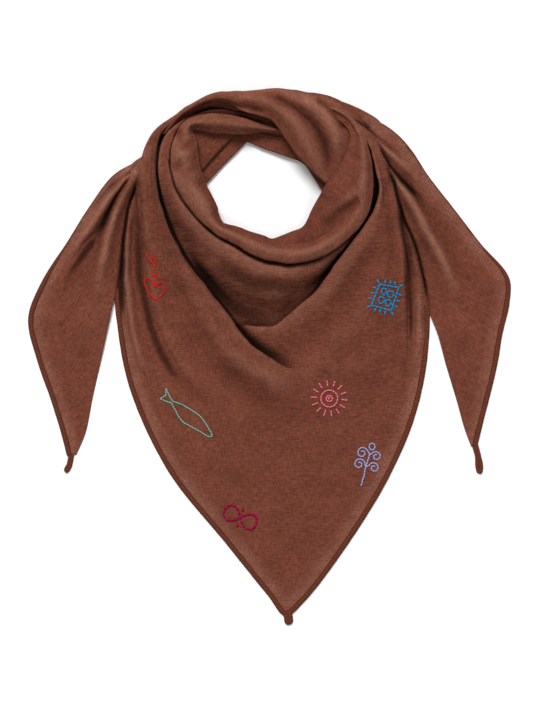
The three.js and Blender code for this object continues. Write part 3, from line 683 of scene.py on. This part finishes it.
def relief(grid):
    """How far each point stands out of the cloth round it: 1 on a crest, -1 in a valley."""
    smooth = grid[..., 2]
    for axis in (0, 1):
        spacing = np.linalg.norm(np.diff(grid, axis=axis), axis=-1).mean()
        reach = max(1, int(round(RELIEF_REACH / spacing)))
        smooth = blurred(blurred(smooth, axis, reach), axis, reach)
    return np.clip((grid[..., 2] - smooth) / RELIEF_DEPTH, -1, 1)


def grid_normals(grid):
    along, across = np.gradient(grid, axis=0), np.gradient(grid, axis=1)
    normals = np.cross(along, across)
    return normals / np.maximum(np.linalg.norm(normals, axis=-1, keepdims=True), TINY)


def sideways(line):
    """Level unit vectors to the right of a line's run."""
    run = np.gradient(line, axis=0)
    run[:, 2] = 0
    run /= np.maximum(np.linalg.norm(run, axis=1, keepdims=True), TINY)
    return np.stack([run[:, 1], -run[:, 0], run[:, 2]], axis=-1)


def level_offset(line, distance):
    """Moves a line of points sideways in the level plane: positive is to the left of its run."""
    return line - sideways(line) * np.reshape(distance, (-1, 1))


def running_length(grid, axis=0):
    """How far each point is along a line, or along its row or column of a grid."""
    steps = np.linalg.norm(np.diff(grid, axis=axis), axis=-1)
    start = np.zeros_like(np.take(steps, [0], axis=axis))
    return np.cumsum(np.concatenate([start, steps], axis=axis), axis=axis)


def resampled(line, step):
    """The line at even steps, and how far along it each new point is."""
    length = running_length(line)
    at = np.linspace(0, length[-1], max(2, int(round(length[-1] / step))))
    return np.stack([np.interp(at, length, line[:, k]) for k in range(3)], axis=-1), at


# Painted shade in gaps

def along_line(share, values):
    """The value at each share of a line, from values spread evenly along it."""
    return np.interp(share, np.linspace(0, 1, len(values)), values)


def painted_shade_by_line(points, line, reach, depths, shades):
    """How much painted shade each point gets, beside and below the lip of a fold, from 0 to 1. The
    shade is full as far beside it as reach starts and as far below it as depths ends."""
    away, share = nearest_on_line(points[..., :2], line)
    below = along_line(share, line[:, 2]) - points[..., 2]
    return (1 - smoothstep(away, *reach)) * smoothstep(below, *depths) * along_line(share, shades)


def painted_seam_shade(points):
    """How much painted shade each point gets where two pieces meet in a crevice."""
    dark = np.zeros(points.shape[:-1])
    for line, first, last, strength in PAINTED_SEAM_SHADES:
        away, share = nearest_on_line(points[..., :2], line)
        width = first + (last - first) * share
        spread = np.exp(-((away / width) ** 4))
        dark = np.maximum(dark, strength * faded_ends(share, SEAM_FADE) * spread)
    return dark


def painted_pleat_shade(height):
    """How much painted shade each point gets at the bottom of a pleat."""
    return PLEAT_PAINTED_SHADE * smoothstep(-height, *PLEAT_DEPTHS)


# Meshes

def add_object(name, data):
    made = bpy.data.objects.new(name, data)
    bpy.context.scene.collection.objects.link(made)
    return made


def finish_mesh(name, points, faces, grain, **values):
    """A smooth mesh object from plan points, with the cloth's grain as its UV map."""
    mesh = bpy.data.meshes.new(name)
    mesh.from_pydata(place(points).tolist(), [], faces)
    mesh.polygons.foreach_set("use_smooth", [True] * len(mesh.polygons))
    corners = np.empty(len(mesh.loops), int)
    mesh.loops.foreach_get("vertex_index", corners)
    layer = mesh.uv_layers.new(name="grain")
    layer.data.foreach_set("uv", (grain[corners] / GRAIN_UNIT).astype(np.float32).ravel())
    for label, value in values.items():
        attribute = mesh.attributes.new(label, "FLOAT", "POINT")
        attribute.data.foreach_set("value", value.astype(np.float32))
    mesh.update()
    return add_object(name, mesh)


def cloth_mesh(name, grid, grain, band, gap):
    """A closed thin sheet round a grid of points, its lower face on or above the floor."""
    half = CLOTH_THICKNESS / 2
    grid = grid.copy()
    grid[..., 2] = np.maximum(grid[..., 2], half + FLOOR_GAP)
    offset = grid_normals(grid) * half
    points = np.concatenate([(grid + offset).reshape(-1, 3), (grid - offset).reshape(-1, 3)])
    points[:, 2] = np.maximum(points[:, 2], FLOOR_GAP)
    index = np.arange(gap.size).reshape(gap.shape)
    quads = np.stack([index[:-1, :-1], index[1:, :-1], index[1:, 1:], index[:-1, 1:]], axis=-1)
    upper = quads.reshape(-1, 4)
    lower = upper[:, ::-1] + gap.size
    border = np.concatenate([index[:, 0], index[-1, 1:], index[-2::-1, -1], index[0, -2::-1]])
    here, there = border[:-1], border[1:]
    rim = np.stack([there, here, here + gap.size, there + gap.size], axis=-1)
    upright = np.zeros(len(points))
    if name == "front_panel":
        upright = 1 - smoothstep(points[:, 0], *UPRIGHT_BOUNDS)
    # Painted light where one layer lies near the floor
    glow = 1 - smoothstep(grid[..., 2], *PAINTED_FLOOR_LIGHT_HEIGHTS)
    # Painted shade in the crevices where two pieces meet
    gap = np.maximum(gap, painted_seam_shade(grid))
    band, gap, glow, rise = (np.tile(values.ravel(), 2) for values in (band, gap, glow, relief(grid)))
    return finish_mesh(
        name, points, np.concatenate([upper, lower, rim]).tolist(), np.tile(grain.reshape(-1, 2), (2, 1)),
        band=band, gap=gap, glow=glow, upright=upright, relief=rise,
    )


def tube_faces(count, sides, first=0):
    """Quads between rings of points that are numbered in order, and a cap at each end."""
    index = first + np.arange(count * sides).reshape(count, sides)
    around = np.hstack([index, index[:, :1]])
    quads = np.stack([around[:-1, :-1], around[:-1, 1:], around[1:, 1:], around[1:, :-1]], axis=-1)
    return [*quads.reshape(-1, 4).tolist(), index[0, ::-1].tolist(), index[-1].tolist()]


def swept_mesh(name, line, profile):
    """Sweeps a closed profile of (across, up) pairs, one set for each point, along a line."""
    count, width = profile.shape[:2]
    up = np.array([0.0, 0.0, 1.0])
    rings = line[:, None] + profile[..., :1] * sideways(line)[:, None] + profile[..., 1:] * up
    grain = np.stack([np.repeat(running_length(line), width), profile[..., 0].ravel()], axis=-1)
    return finish_mesh(name, rings.reshape(-1, 3), tube_faces(count, width), grain)


# Materials

def srgb(red, green, blue):
    def linear(value):
        value /= 255
        return value / 12.92 if value <= 0.04045 else ((value + 0.055) / 1.055) ** 2.4
    return (linear(red), linear(green), linear(blue), 1.0)


class Shader:
    """A material with its nodes made by short calls."""

    def __init__(self, name, roughness, sheen=0.0):
        self.material = bpy.data.materials.new(name)
        self.material.use_nodes = True
        self.tree = self.material.node_tree
        self.surface = self.tree.nodes["Principled BSDF"]
        self.fill(self.surface, {
            "Roughness": roughness, "Specular IOR Level": 0.05, "Sheen Weight": sheen,
            "Sheen Roughness": 0.45, "Sheen Tint": (1.0, 0.7, 0.58, 1.0),
        })

    def fill(self, node, sockets):
        """Sets each of a node's sockets to a constant, or links another node's output to it."""
        for key, value in sockets.items():
            if isinstance(value, (int, float, tuple)):
                node.inputs[key].default_value = value
            else:
                self.tree.links.new(value, node.inputs[key])

    def node(self, kind, sockets, **settings):
        made = self.tree.nodes.new(kind)
        for key, value in settings.items():
            setattr(made, key, value)
        self.fill(made, sockets)
        return made

    def grain(self):
        return self.node("ShaderNodeUVMap", {}, uv_map="grain").outputs["UV"]

    def noise(self, scale, detail):
        """Noise along the grain, with its scale along it and across it."""
        mapping = self.node("ShaderNodeMapping", {"Vector": self.grain(), "Scale": (*scale, 1)})
        vector = mapping.outputs["Vector"]
        sockets = {"Vector": vector, "Scale": 1.0, "Detail": detail, "Roughness": 0.55}
        return self.node("ShaderNodeTexNoise", sockets).outputs["Fac"]

    def math(self, operation, *values):
        sockets = dict(enumerate(values))
        return self.node("ShaderNodeMath", sockets, operation=operation).outputs["Value"]

    def times(self, first, *others):
        for other in others:
            first = self.math("MULTIPLY", first, other)
        return first

    def plus(self, first, *others):
        for other in others:
            first = self.math("ADD", first, other)
        return first

    def ranged(self, value, low, high, to_low, to_high):
        sockets = {"Value": value, "From Min": low, "From Max": high, "To Min": to_low, "To Max": to_high}
        return self.node("ShaderNodeMapRange", sockets).outputs["Result"]

    def mix(self, factor, first, second, blend="MIX"):
        sockets = {0: factor, 6: first, 7: second}
        return self.node("ShaderNodeMix", sockets, data_type="RGBA", blend_type=blend).outputs[2]

    def blend(self, factor, first, second):
        return self.node("ShaderNodeMix", {0: factor, 2: first, 3: second}).outputs[0]

    def attribute(self, name):
        return self.node("ShaderNodeAttribute", {}, attribute_name=name).outputs["Fac"]

    def finish(self, colour, height, strength, distance):
        """Joins the colour and a bump to the surface."""
        sockets = {"Strength": strength, "Distance": distance, "Height": height}
        bump = self.node("ShaderNodeBump", sockets)
        self.fill(self.surface, {"Base Color": colour, "Normal": bump.outputs["Normal"]})
        return self.material


def gauze_material():
    """Crinkled double gauze: thread streaks that run one way or the other, and mottled dye, with painted
    shade in gaps and valleys, painted highlights on crests and painted light near the floor.
    """
    shader = Shader("brown_gauze", 0.95, 0.015)
    wander = shader.ranged(shader.noise(WANDER_SCALE, 1.0), 0.35, 0.65, -0.3, 0.3)
    way = shader.ranged(shader.plus(shader.attribute("upright"), wander), 0, 1, 0.72, 0.28)

    def streaks(scale, detail):
        return shader.blend(way, shader.noise(scale, detail), shader.noise(scale[::-1], detail))

    crinkles = streaks(CRINKLE_SCALE, 2.0)
    threads = streaks(THREAD_SCALE, 2.0)
    crossing = streaks(CROSSING_SCALE, 1.0)
    raised = shader.attribute("relief")
    # Painted shade: the gap attribute darkens crevices, the cloth under folds and the bottom of pleats
    gap = shader.attribute("gap")
    out_of_painted_shade = shader.ranged(gap, 0, 0.6, 1, 0)

    weave = shader.plus(shader.times(threads, 0.6), shader.times(crossing, 0.4))
    # The weave and mottle are the dye's own tones; the floor light is painted light, and the gap and valley
    # tones are painted shade
    amount = shader.times(
        shader.ranged(weave, 0.4, 0.6, *WEAVE_TONES),
        shader.ranged(shader.noise(MOTTLE_SCALE, 3.0), 0.3, 0.7, *MOTTLE_TONES),
        shader.ranged(shader.attribute("glow"), 0, 1, 1.0, PAINTED_FLOOR_LIGHT_TONE),
        shader.ranged(gap, 0, 1, 1, 1 - DEEPEST_PAINTED_SHADE),
        shader.ranged(raised, -1, 0, PAINTED_VALLEY_SHADE, 1),
    )
    coloured = shader.mix(1.0, srgb(*GAUZE_COLOUR), amount, "MULTIPLY")
    # Painted highlight: crests are mixed towards a paler colour, but not in painted shade
    painted_highlight = shader.times(
        shader.ranged(raised, 0, 1, 0, PAINTED_HIGHLIGHT_SHARE), shader.ranged(threads, 0.35, 0.65, 0.8, 1.2), out_of_painted_shade,
    )
    coloured = shader.mix(painted_highlight, coloured, srgb(*PAINTED_HIGHLIGHT_COLOUR))

    speck = shader.ranged(shader.noise(SPECK_SCALE, 1.5), 0.46, 0.66, 0, 0.42)
    patchy = shader.ranged(shader.noise(PATCH_SCALE, 1.0), 0.38, 0.62, 0.15, 1)
    pale = shader.plus(shader.times(speck, patchy), 0.1)
    open_edge = shader.times(shader.attribute("band"), pale, out_of_painted_shade)
    coloured = shader.mix(open_edge, coloured, srgb(*OPEN_WEAVE_COLOUR))

    grit = shader.noise(GRIT_SCALE, 1.0)
    height = shader.plus(
        crinkles, shader.times(threads, 0.42), shader.times(crossing, 0.22), shader.times(grit, 0.1),
    )
    return shader.finish(coloured, height, 0.75, 0.0019)


def hem_material():
    """The rolled hem: the same dye, redder, with painted shade along both sides and dashed where it is sewn.
    """
    shader = Shader("hem_brown", 0.9, 0.05)
    parts = shader.node("ShaderNodeSeparateXYZ", {0: shader.grain()})
    twist = shader.noise((40, 60), 2.0)
    wave = shader.math("SINE", shader.times(parts.outputs["X"], 2 * math.pi * GRAIN_UNIT / STITCH_PITCH))
    amount = shader.times(
        shader.ranged(twist, 0.35, 0.65, 0.82, 1.2),
        # Painted shade: both sides of the rolled hem are darkened
        shader.ranged(shader.math("ABSOLUTE", parts.outputs["Y"]), 0.014, 0.027, 1.04, 0.52),
        shader.ranged(wave, 0.2, 0.8, 1.0, 1.3),
    )
    return shader.finish(shader.mix(1.0, srgb(*HEM_COLOUR), amount, "MULTIPLY"), twist, 0.5, 0.0008)


def thread_material(name, colour):
    """Stranded embroidery thread with a fine twist."""
    shader = Shader(name, 0.65)
    twist = shader.noise((120, 60), 1.0)
    tone = shader.ranged(twist, 0.35, 0.65, 0.82, 1.18)
    return shader.finish(shader.mix(1.0, srgb(*colour), tone, "MULTIPLY"), twist, 0.4, 0.0003)


def floor_material():
    shader = Shader("pale_floor", 0.85)
    shader.fill(shader.surface, {"Base Color": FLOOR_COLOUR})
    return shader.material


GAUZE = gauze_material()
HEM = hem_material()


def dress(piece, material, node):
    piece.data.materials.append(material)
    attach(piece, BODY)
    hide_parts(node)
    return piece


def lay(name, grid, grain, band, gap):
    """One sheet of the scarf's cloth."""
    return dress(cloth_mesh(name, grid, grain, band, gap), GAUZE, "scarf_cloth")


# The front drape

def end_fade(line, fades):
    """Rises from 0 to 1 over HEM_FADE at the ends of a line that fades is set for."""
    length = running_length(line)
    fade = np.ones(len(line))
    if fades[0]:
        fade *= smoothstep(length, 0, HEM_FADE)
    if fades[1]:
        fade *= smoothstep(length[-1] - length, 0, HEM_FADE)
    return fade


def drawn_in(grid, row, far_row, side, first, last, fades):
    """Draws the cloth in from its outline along the hem; rows up to far_row move less and less."""
    outline = grid[first:last + 1, row].copy()
    shift = (level_offset(outline, side * CLOTH_INSET) - outline) * end_fade(outline, fades)[:, None]
    low, high = min(row, far_row), max(row, far_row)
    rows = grid[first:last + 1, low:high + 1]
    far = grid[first:last + 1, far_row][:, None]
    reach = np.linalg.norm(outline - far[:, 0], axis=-1)[:, None]
    share = np.minimum(np.linalg.norm(rows - far, axis=-1) / reach, 1)[..., None]
    rows += shift[:, None] * share
    return outline


def edge_band(grid, outline, reach):
    """1 at the outline, where the weave is open, and 0 from the reach on."""
    away, _ = nearest_on_line(grid[..., :2], outline[::OUTLINE_STRIDE])
    return 1 - smoothstep(away, reach * FULL_BAND_SHARE, reach)


def length_grain(grid):
    """Threads that follow the sheet: its length along the sections and its width across them."""
    across = running_length(grid, 1)
    along = running_length(grid).mean(axis=1, keepdims=True)
    return np.stack([np.broadcast_to(along, across.shape), across], axis=-1)


def turned_grain(grid, degrees):
    """Threads that lie at an angle on the plan."""
    c, s = math.cos(math.radians(degrees)), math.sin(math.radians(degrees))
    x, y = grid[..., 0], grid[..., 1]
    return np.stack([x * c + y * s, y * c - x * s], axis=-1)


front_sections = np.array([front_section(row) for row in FRONT_SECTIONS])
left_folds = [row[6] for row in FRONT_SECTIONS]
left_lips, right_lips, roll_lips = (curve([row[k] for row in FRONT_SECTIONS]) for k in (1, 2, 3))


def make_front_panel():
    grid, starts, rows = loft(front_sections[:, :RIGHT_CREASE_ROW + 1], PANEL_STEP)
    pleats_down = np.zeros(grid.shape[:2])
    for row, pleats in ((LEFT_SHOULDER_ROW, PANEL_PLEATS), (RIGHT_SHOULDER_ROW, ARM_PLEATS)):
        panel = grid[:, 1:rows[row]]
        height = pleat_height(panel[..., :2], pleats)
        panel[..., 2] += height
        pleats_down[:, 1:rows[row]] += height
    ends = (starts[HEM_FIRST], starts[HEM_LAST])
    outline = drawn_in(grid, 0, rows[LEFT_SHOULDER_ROW] - 1, 1, *ends, (True, True))
    grain = grid[..., :2].copy()
    grid = crinkled(grid, grain, seed=11)
    # Painted shade beside the left fold's lip, at the bottom of deep pleats, and behind the lip under the
    # fold
    edge = painted_shade_by_line(grid, left_lips, LEFT_LIP_REACH, LEFT_LIP_DEPTHS, LEFT_LIP_PAINTED_SHADES)
    gap = np.maximum(painted_pleat_shade(pleats_down), edge)
    behind = slice(rows[LEFT_LIP_ROW], None)
    gap[:, behind] = painted_shade_by_line(grid[:, behind], left_lips, BEHIND_REACH, BEHIND_DEPTHS, left_folds)
    return lay("front_panel", grid, grain, edge_band(grid, outline, FRONT_BAND), gap), outline


def make_neck_roll():
    grid, _, rows = loft(front_sections[:, RIGHT_CREASE_ROW:], ROLL_STEP)
    grid[:, 1:-1, 2] += pleat_height(grid[:, 1:-1, :2], ROLL_PLEATS)
    grain = length_grain(grid)
    flat = slice(0, rows[ROLL_CREASE_ROW])
    grain[:, flat] = grid[:, flat, :2]
    grid = crinkled(grid, grain, seed=31)
    gap = np.zeros(grid.shape[:2])
    inside = slice(0, rows[ROLL_LIP_ROW])
    pocket = grid[:, inside]
    # Each place of painted shade in the pocket: its line, its reach beside the line, its depths and its
    # shades
    painted_shade_places = (
        (left_lips, (3, 5.5), (1, 5), left_folds),
        (right_lips, (2, 10), (3, 10), (1, 1)),
        (right_lips, (4, 30), (1, 8), (0.62, 0.62)),
        (WEDGE, (4, 13), (1, 5), WEDGE_PAINTED_SHADES),
        (roll_lips, (1, 4), (3, 9), ROLL_EDGE_PAINTED_SHADES),
        (POCKET_SHADE, (2, 15), (1, 5), POCKET_SHADES),
    )
    gap[:, inside] = np.maximum.reduce([painted_shade_by_line(pocket, *dark) for dark in painted_shade_places])
    return lay("neck_roll", grid, grain, np.zeros_like(gap), gap)


def loft_band(sections, section, pleats):
    """The pleated grid of a band, where each section lies on it, and the painted shade in its pleats."""
    grid, starts, _ = loft(np.array([section(row) for row in sections]), BAND_STEP)
    height = pleat_height(grid[:, 1:-1, :2], pleats)
    grid[:, 1:-1, 2] += height
    return grid, starts, painted_pleat_shade(np.pad(height, ((0, 0), (1, 1))))


def make_plain_band(name, sections, section, pleats, seed):
    grid, _, gap = loft_band(sections, section, pleats)
    grain = length_grain(grid)
    return lay(name, crinkled(grid, grain, seed), grain, np.zeros_like(gap), gap)


def make_tail(name, sections, pleats, seed, hem_start, inward, turn):
    """The hem starts at section hem_start. inward is 1 where the cloth lies left of it, and turn is
    the angle of its threads."""
    grid, starts, gap = loft_band(sections, band_section, pleats)
    ends = (starts[hem_start], starts[-1])
    outline = drawn_in(grid, grid.shape[1] - 1, 0, inward, *ends, (True, False))
    grain = turned_grain(grid, turn)
    grid = crinkled(grid, grain, seed)
    return lay(name, grid, grain, edge_band(grid, outline, TAIL_BAND), gap), outline


front_panel, front_outline = make_front_panel()
neck_roll = make_neck_roll()
nape_wrap = make_plain_band("nape_wrap", NAPE_SECTIONS, nape_section, NAPE_PLEATS, seed=51)
left_tail, left_outline = make_tail(
    "left_tail", LEFT_TAIL_SECTIONS, LEFT_TAIL_PLEATS, seed=71, hem_start=1, inward=1, turn=55,
)
right_tail, right_outline = make_tail(
    "right_tail", RIGHT_TAIL_SECTIONS, RIGHT_TAIL_PLEATS, seed=91, hem_start=2, inward=-1, turn=-42,
)
back_layers = [
    make_plain_band(f"back_layer_{i + 1}", layer, band_section, [], seed=111 + 10 * i)
    for i, layer in enumerate(BACK_LAYERS)
]


# Hems and tabs

def make_hem(name, node, outline, side, seed, fades):
    """A rolled hem along an outline, dented where each stitch pulls it in."""
    middle, at = resampled(level_offset(outline, side * HEM_WIDTH / 2), HEM_STEP)
    taper = HEM_END_SHARE + (1 - HEM_END_SHARE) * end_fade(middle, fades)
    taper *= 1 - NARROWING * smoothstep(middle[:, 1], *NARROW_HEM)
    swell = 0.5 + 0.5 * np.cos(2 * math.pi * at / STITCH_PITCH)
    wander = lattice_noise(at / HEM_WANDER, np.full(len(at), 0.5), seed)
    half_width = HEM_WIDTH / 2 * (1 + WIDTH_SWELL * swell + WANDER_SHARE * wander) * taper
    half_height = HEM_HEIGHT / 2 * (LOW_HEIGHT + HEIGHT_SWELL * swell) * taper
    profile = np.stack([
        half_width[:, None] * np.sign(RING[:, 0]) * np.abs(RING[:, 0]) ** HEM_SQUARENESS,
        half_height[:, None] * (1 + RING[:, 1]),
    ], axis=-1)
    middle[:, 2] = np.maximum(middle[:, 2] - HEM_HEIGHT / 2, FLOOR_GAP)
    return dress(swept_mesh(name, middle, profile), HEM, node)


def make_tab(name, node, line, width, opening, seed):
    """A narrow band folded back on itself. opening is how far its two strands part at the end."""
    middle, at = resampled(np.array(line, float), TAB_STEP)
    share = at / at[-1]
    strand = width * STRAND_SHARE
    parting = np.clip((share - PARTING_SHARE) / (1 - PARTING_SHARE), 0, 1)
    part = (width / 2 - strand) * (1 + opening * np.sin(np.pi * parting))
    part *= np.sqrt(np.clip((LOOP_END - share) / LOOP_ROUNDING, 0, 1))
    strands = np.concatenate([level_offset(middle, part), level_offset(middle, -part)[::-1]])
    loop = smooth_samples(strands[::2], [2] * (len(middle) - 1))
    loop[:, 2] = FLOOR_GAP
    along = np.arange(len(loop)) / TAB_WOBBLE_POINTS
    wobble = 1 + TAB_WOBBLE * lattice_noise(along, np.full(len(loop), 0.5), seed)
    profile = wobble[:, None, None] * (RING + (0, 1)) * (strand, TAB_HEIGHT / 2)
    return dress(swept_mesh(name, loop, profile), HEM, node)


make_hem("front_rolled_hem", "front_hem", front_outline, side=1, seed=5, fades=(True, True))
make_hem("left_rolled_hem", "left_tail_hem", left_outline, side=1, seed=6, fades=(True, False))
make_hem("right_rolled_hem", "right_tail_hem", right_outline, side=-1, seed=7, fades=(True, False))
for tab in TABS:
    make_tab(*tab)


# Embroidery: common figures, sewn in backstitch on the front panel

panel_surface = BVHTree.FromObject(front_panel, bpy.context.evaluated_depsgraph_get())


def on_panel(points):
    """Lifts plan points on to the top of the front panel."""
    lifted = []
    for x, y in points:
        px, py, _ = place((x, y, 0))
        hit, _, _, _ = panel_surface.ray_cast((px, py, 0.1), (0, 0, -1))
        lifted.append((x, y, hit[2] / MM + CENTRE[2] if hit else 0))
    return np.array(lifted)


def arc(centre, radius, start, end, far_radius=None, squash=1.0):
    """Points round a centre from one angle to another; a second radius makes it a spiral."""
    count = max(3, int(abs(end - start) / ARC_STEP) + 1)
    angles = np.radians(np.linspace(start, end, count))
    radii = np.linspace(radius, far_radius or radius, count)
    return np.stack([
        centre[0] + radii * np.cos(angles) * squash,
        centre[1] + radii * np.sin(angles),
    ], axis=-1)


def stitches_along(stroke, length):
    """Cuts a stroke into stitches that each run on from the last."""
    points, at = resampled(np.column_stack([stroke, np.zeros(len(stroke))]), 0.5)
    count = max(1, int(round(at[-1] / length)))
    ends = np.linspace(0, at[-1], count + 1)
    for first, last in zip(ends[:-1], ends[1:]):
        spots = np.linspace(first, last, STITCH_POINTS)
        yield np.stack([np.interp(spots, at, points[:, k]) for k in (0, 1)], axis=-1)


def sew(name, colour, thickness, length, strokes, seed):
    """One piece of embroidery: every stitch is a short thread that dips into the cloth."""
    wander = np.random.RandomState(seed)
    angles = np.linspace(0, 2 * math.pi, THREAD_SIDES, endpoint=False)
    share = np.linspace(0, 1, STITCH_POINTS)
    blunt = np.maximum(1 - (2 * share - 1) ** STITCH_BLUNTNESS, STITCH_END)
    half = thickness / 2 * np.sqrt(blunt)[:, None, None]
    up = np.array((0, 0, THREAD_FLATNESS))
    across, rise = np.cos(angles)[:, None], np.sin(angles)[:, None]
    along = np.repeat(share * length, THREAD_SIDES)
    grain = np.stack([along, np.tile(angles, STITCH_POINTS)], axis=-1)
    points, faces = [], []
    for stroke in strokes:
        for stitch in stitches_along(stroke, length):
            line = on_panel(stitch + wander.uniform(-STITCH_WANDER, STITCH_WANDER, (1, 2)))
            line[:, 2] += thickness * (THREAD_LIFT + THREAD_ARCH * np.sin(math.pi * share))
            rings = line[:, None] + half * (across * sideways(line)[:, None] + rise * up)
            faces += tube_faces(STITCH_POINTS, THREAD_SIDES, len(points) * STITCH_POINTS * THREAD_SIDES)
            points.append(rings.reshape(-1, 3))
    piece = finish_mesh(name, np.concatenate(points), faces, np.tile(grain, (len(points), 1)))
    piece.data.materials.append(thread_material(name + "_thread", colour))
    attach(piece, BODY)
    return piece


def heart_strokes():
    return [
        curve([(-127.4, 76.2), (-130.9, 82.6), (-135.5, 86.2), (-139.2, 82.6), (-138.3, 77.5), (-135, 71.2),
               (-131, 66.2), (-127, 61.9)]),
        curve([(-127, 61.9), (-121.4, 66.4), (-117.4, 71.6), (-117, 77.2), (-120, 81.6), (-123.6, 80),
               (-127.4, 76.2)]),
        curve([(-127.2, 78), (-126.7, 83.3), (-126.2, 88.9), (-127, 94.5), (-127.4, 99.4)]),
        arc((-127.3, 79.6), 1.5, -90, 270),
        [(-130.2, 90.4), (-127.2, 88.8)],
        [(-125.6, 89), (-123.9, 86.9)],
        curve([(-127.4, 99.4), (-131.2, 103.6), (-134.8, 108.5), (-136.9, 114.1)]),
        curve([(-131.2, 103.6), (-130.7, 107.6), (-131.7, 113.4)]),
        curve([(-127.2, 98.6), (-127, 104.3), (-124.6, 108.3)]),
    ]


def square_strokes():
    corners = np.array([(118.9, 78.9), (140.1, 75.6), (132, 50.1), (110.2, 56.1)])
    middle = corners.mean(axis=0)
    strokes = []
    for first, last in zip(corners, np.roll(corners, -1, axis=0)):
        strokes.append([first, last])
        outward = np.array([first[1] - last[1], last[0] - first[0]])
        outward /= np.linalg.norm(outward)
        for share in (0.27, 0.53, 0.78):
            foot = first + (last - first) * share + outward * 1.8
            strokes.append([foot, foot + outward * 4.2])
        away = (first - middle) / np.linalg.norm(first - middle)
        strokes.append([first + away * 0.8, first + away * 6])
    rounds = (((123.8, 71.1), 0.75), ((131.1, 68.2), 0.95), ((121.1, 61.7), 0.95), ((128.5, 58.8), 0.85))
    return strokes + [arc(centre, 3.6, 80, 440, squash=squash) for centre, squash in rounds]


def sun_strokes():
    centre = np.array((64.0, -46.2))
    strokes = [arc(centre, 9.2, 0, 360), arc(centre, 3.3, 30, 390), arc(centre, 0.9, 0, 300)]
    for ray in range(SUN_RAYS):
        angle = math.radians(98 - ray * 360 / SUN_RAYS)
        heading = np.array((math.cos(angle), math.sin(angle)))
        strokes.append([centre + heading * 13.4, centre + heading * 20.2])
    return strokes


def fish_strokes():
    return [
        curve([(-108.4, -49.4), (-99.4, -52.2), (-89.3, -57.8), (-78.1, -65.7), (-71.4, -74.1), (-66.9, -82),
               (-64.1, -87)]),
        curve([(-64.1, -87), (-68, -88.1), (-77, -83.1), (-88.2, -76.9), (-96.1, -72.4), (-100, -68.3),
               (-105.6, -58.4), (-109.4, -51.2)]),
        curve([(-109.4, -51.2), (-116.3, -48.9), (-121.9, -46.3)]),
        [(-121.9, -46.3), (-115.7, -42.7), (-115.4, -35.4)],
        curve([(-115.4, -35.4), (-111.8, -42.7), (-108.4, -49.4)]),
    ]


def plant_strokes():
    upper, lower = (108.7, -107.6), (104.1, -121.2)
    stem = [upper, (105.4, -117.5), lower, (103.3, -125.8), (102.2, -132.2), (100.3, -136), (100.3, -138.9),
            (98.7, -142.3)]
    curls = (
        (upper, (100.3, -106.1), 6.4, 25, 500),
        (upper, (115.7, -109.9), 5.6, 150, -310),
        (lower, (97.0, -118.3), 6.3, 15, 490),
        (lower, (113.2, -122.3), 6.0, 160, -320),
    )
    strokes = [curve(stem), arc((111.2, -99.2), 3.7, -90, 270, squash=0.85)]
    for foot, centre, radius, start, end in curls:
        strokes.append(np.vstack([foot, arc(centre, radius, start, end, 1.5)]))
    return strokes


def lemniscate_strokes():
    t = np.linspace(0, 2 * math.pi, 73)
    along = 19.2 * np.cos(t) / (1 + np.sin(t) ** 2)
    across = 1.25 * along * np.sin(t)
    turn = math.radians(-25)
    loop = np.stack([
        -33.8 + along * math.cos(turn) - across * math.sin(turn),
        -176.8 + along * math.sin(turn) + across * math.cos(turn),
    ], axis=-1)
    return [loop, [(-31.6, -170.2), (-30.4, -166.4)], [(-38, -187.2), (-35.4, -184.2)]]


# Each figure's name, colour, thickness of thread, length of stitch and strokes
EMBROIDERY = (
    ("heart", (200, 34, 30), 1.5, 2.6, heart_strokes()),
    ("square_sun", (0, 134, 184), 1.65, 4.2, square_strokes()),
    ("round_sun", (226, 112, 128), 1.55, 3.6, sun_strokes()),
    ("fish", (116, 172, 160), 1.35, 3.2, fish_strokes()),
    ("plant", (158, 162, 202), 1.55, 3.0, plant_strokes()),
    ("lemniscate", (150, 4, 62), 2.1, 5.0, lemniscate_strokes()),
)
for order, (name, *figure) in enumerate(EMBROIDERY):
    sew(name + "_embroidery", *figure, FIRST_FIGURE_SEED + order)


# The stage, light and camera

def make_floor():
    mesh = bpy.data.meshes.new("floor")
    corners = [(x * FLOOR_SIZE, y * FLOOR_SIZE, 0) for x, y in ((-1, -1), (1, -1), (1, 1), (-1, 1))]
    mesh.from_pydata(corners, [], [(0, 1, 2, 3)])
    mesh.materials.append(floor_material())
    add_object("floor", mesh)


def add_softbox(name, at, size, power):
    data = bpy.data.lights.new(name, "AREA")
    data.shape = "DISK"
    data.size = size
    data.energy = power
    light = add_object(name, data)
    light.location = at
    light.rotation_euler = (-Vector(at)).to_track_quat("-Z", "Y").to_euler()


def make_camera():
    data = bpy.data.cameras.new("camera")
    data.sensor_width = SENSOR
    data.lens = SENSOR * CAMERA_HEIGHT / VIEW_HEIGHT
    camera = add_object("camera", data)
    x, y, _ = place((*CAMERA_POINT, 0))
    camera.location = (x, y, CAMERA_HEIGHT)
    bpy.context.scene.camera = camera


def make_world():
    world = bpy.data.worlds.new("studio")
    world.use_nodes = True
    background = world.node_tree.nodes["Background"]
    background.inputs["Color"].default_value = (1, 1, 1, 1)
    background.inputs["Strength"].default_value = WORLD_STRENGTH
    bpy.context.scene.world = world


make_floor()
make_camera()
make_world()
for softbox in SOFTBOXES:
    add_softbox(*softbox)
bpy.context.scene.view_settings.view_transform = "Standard"
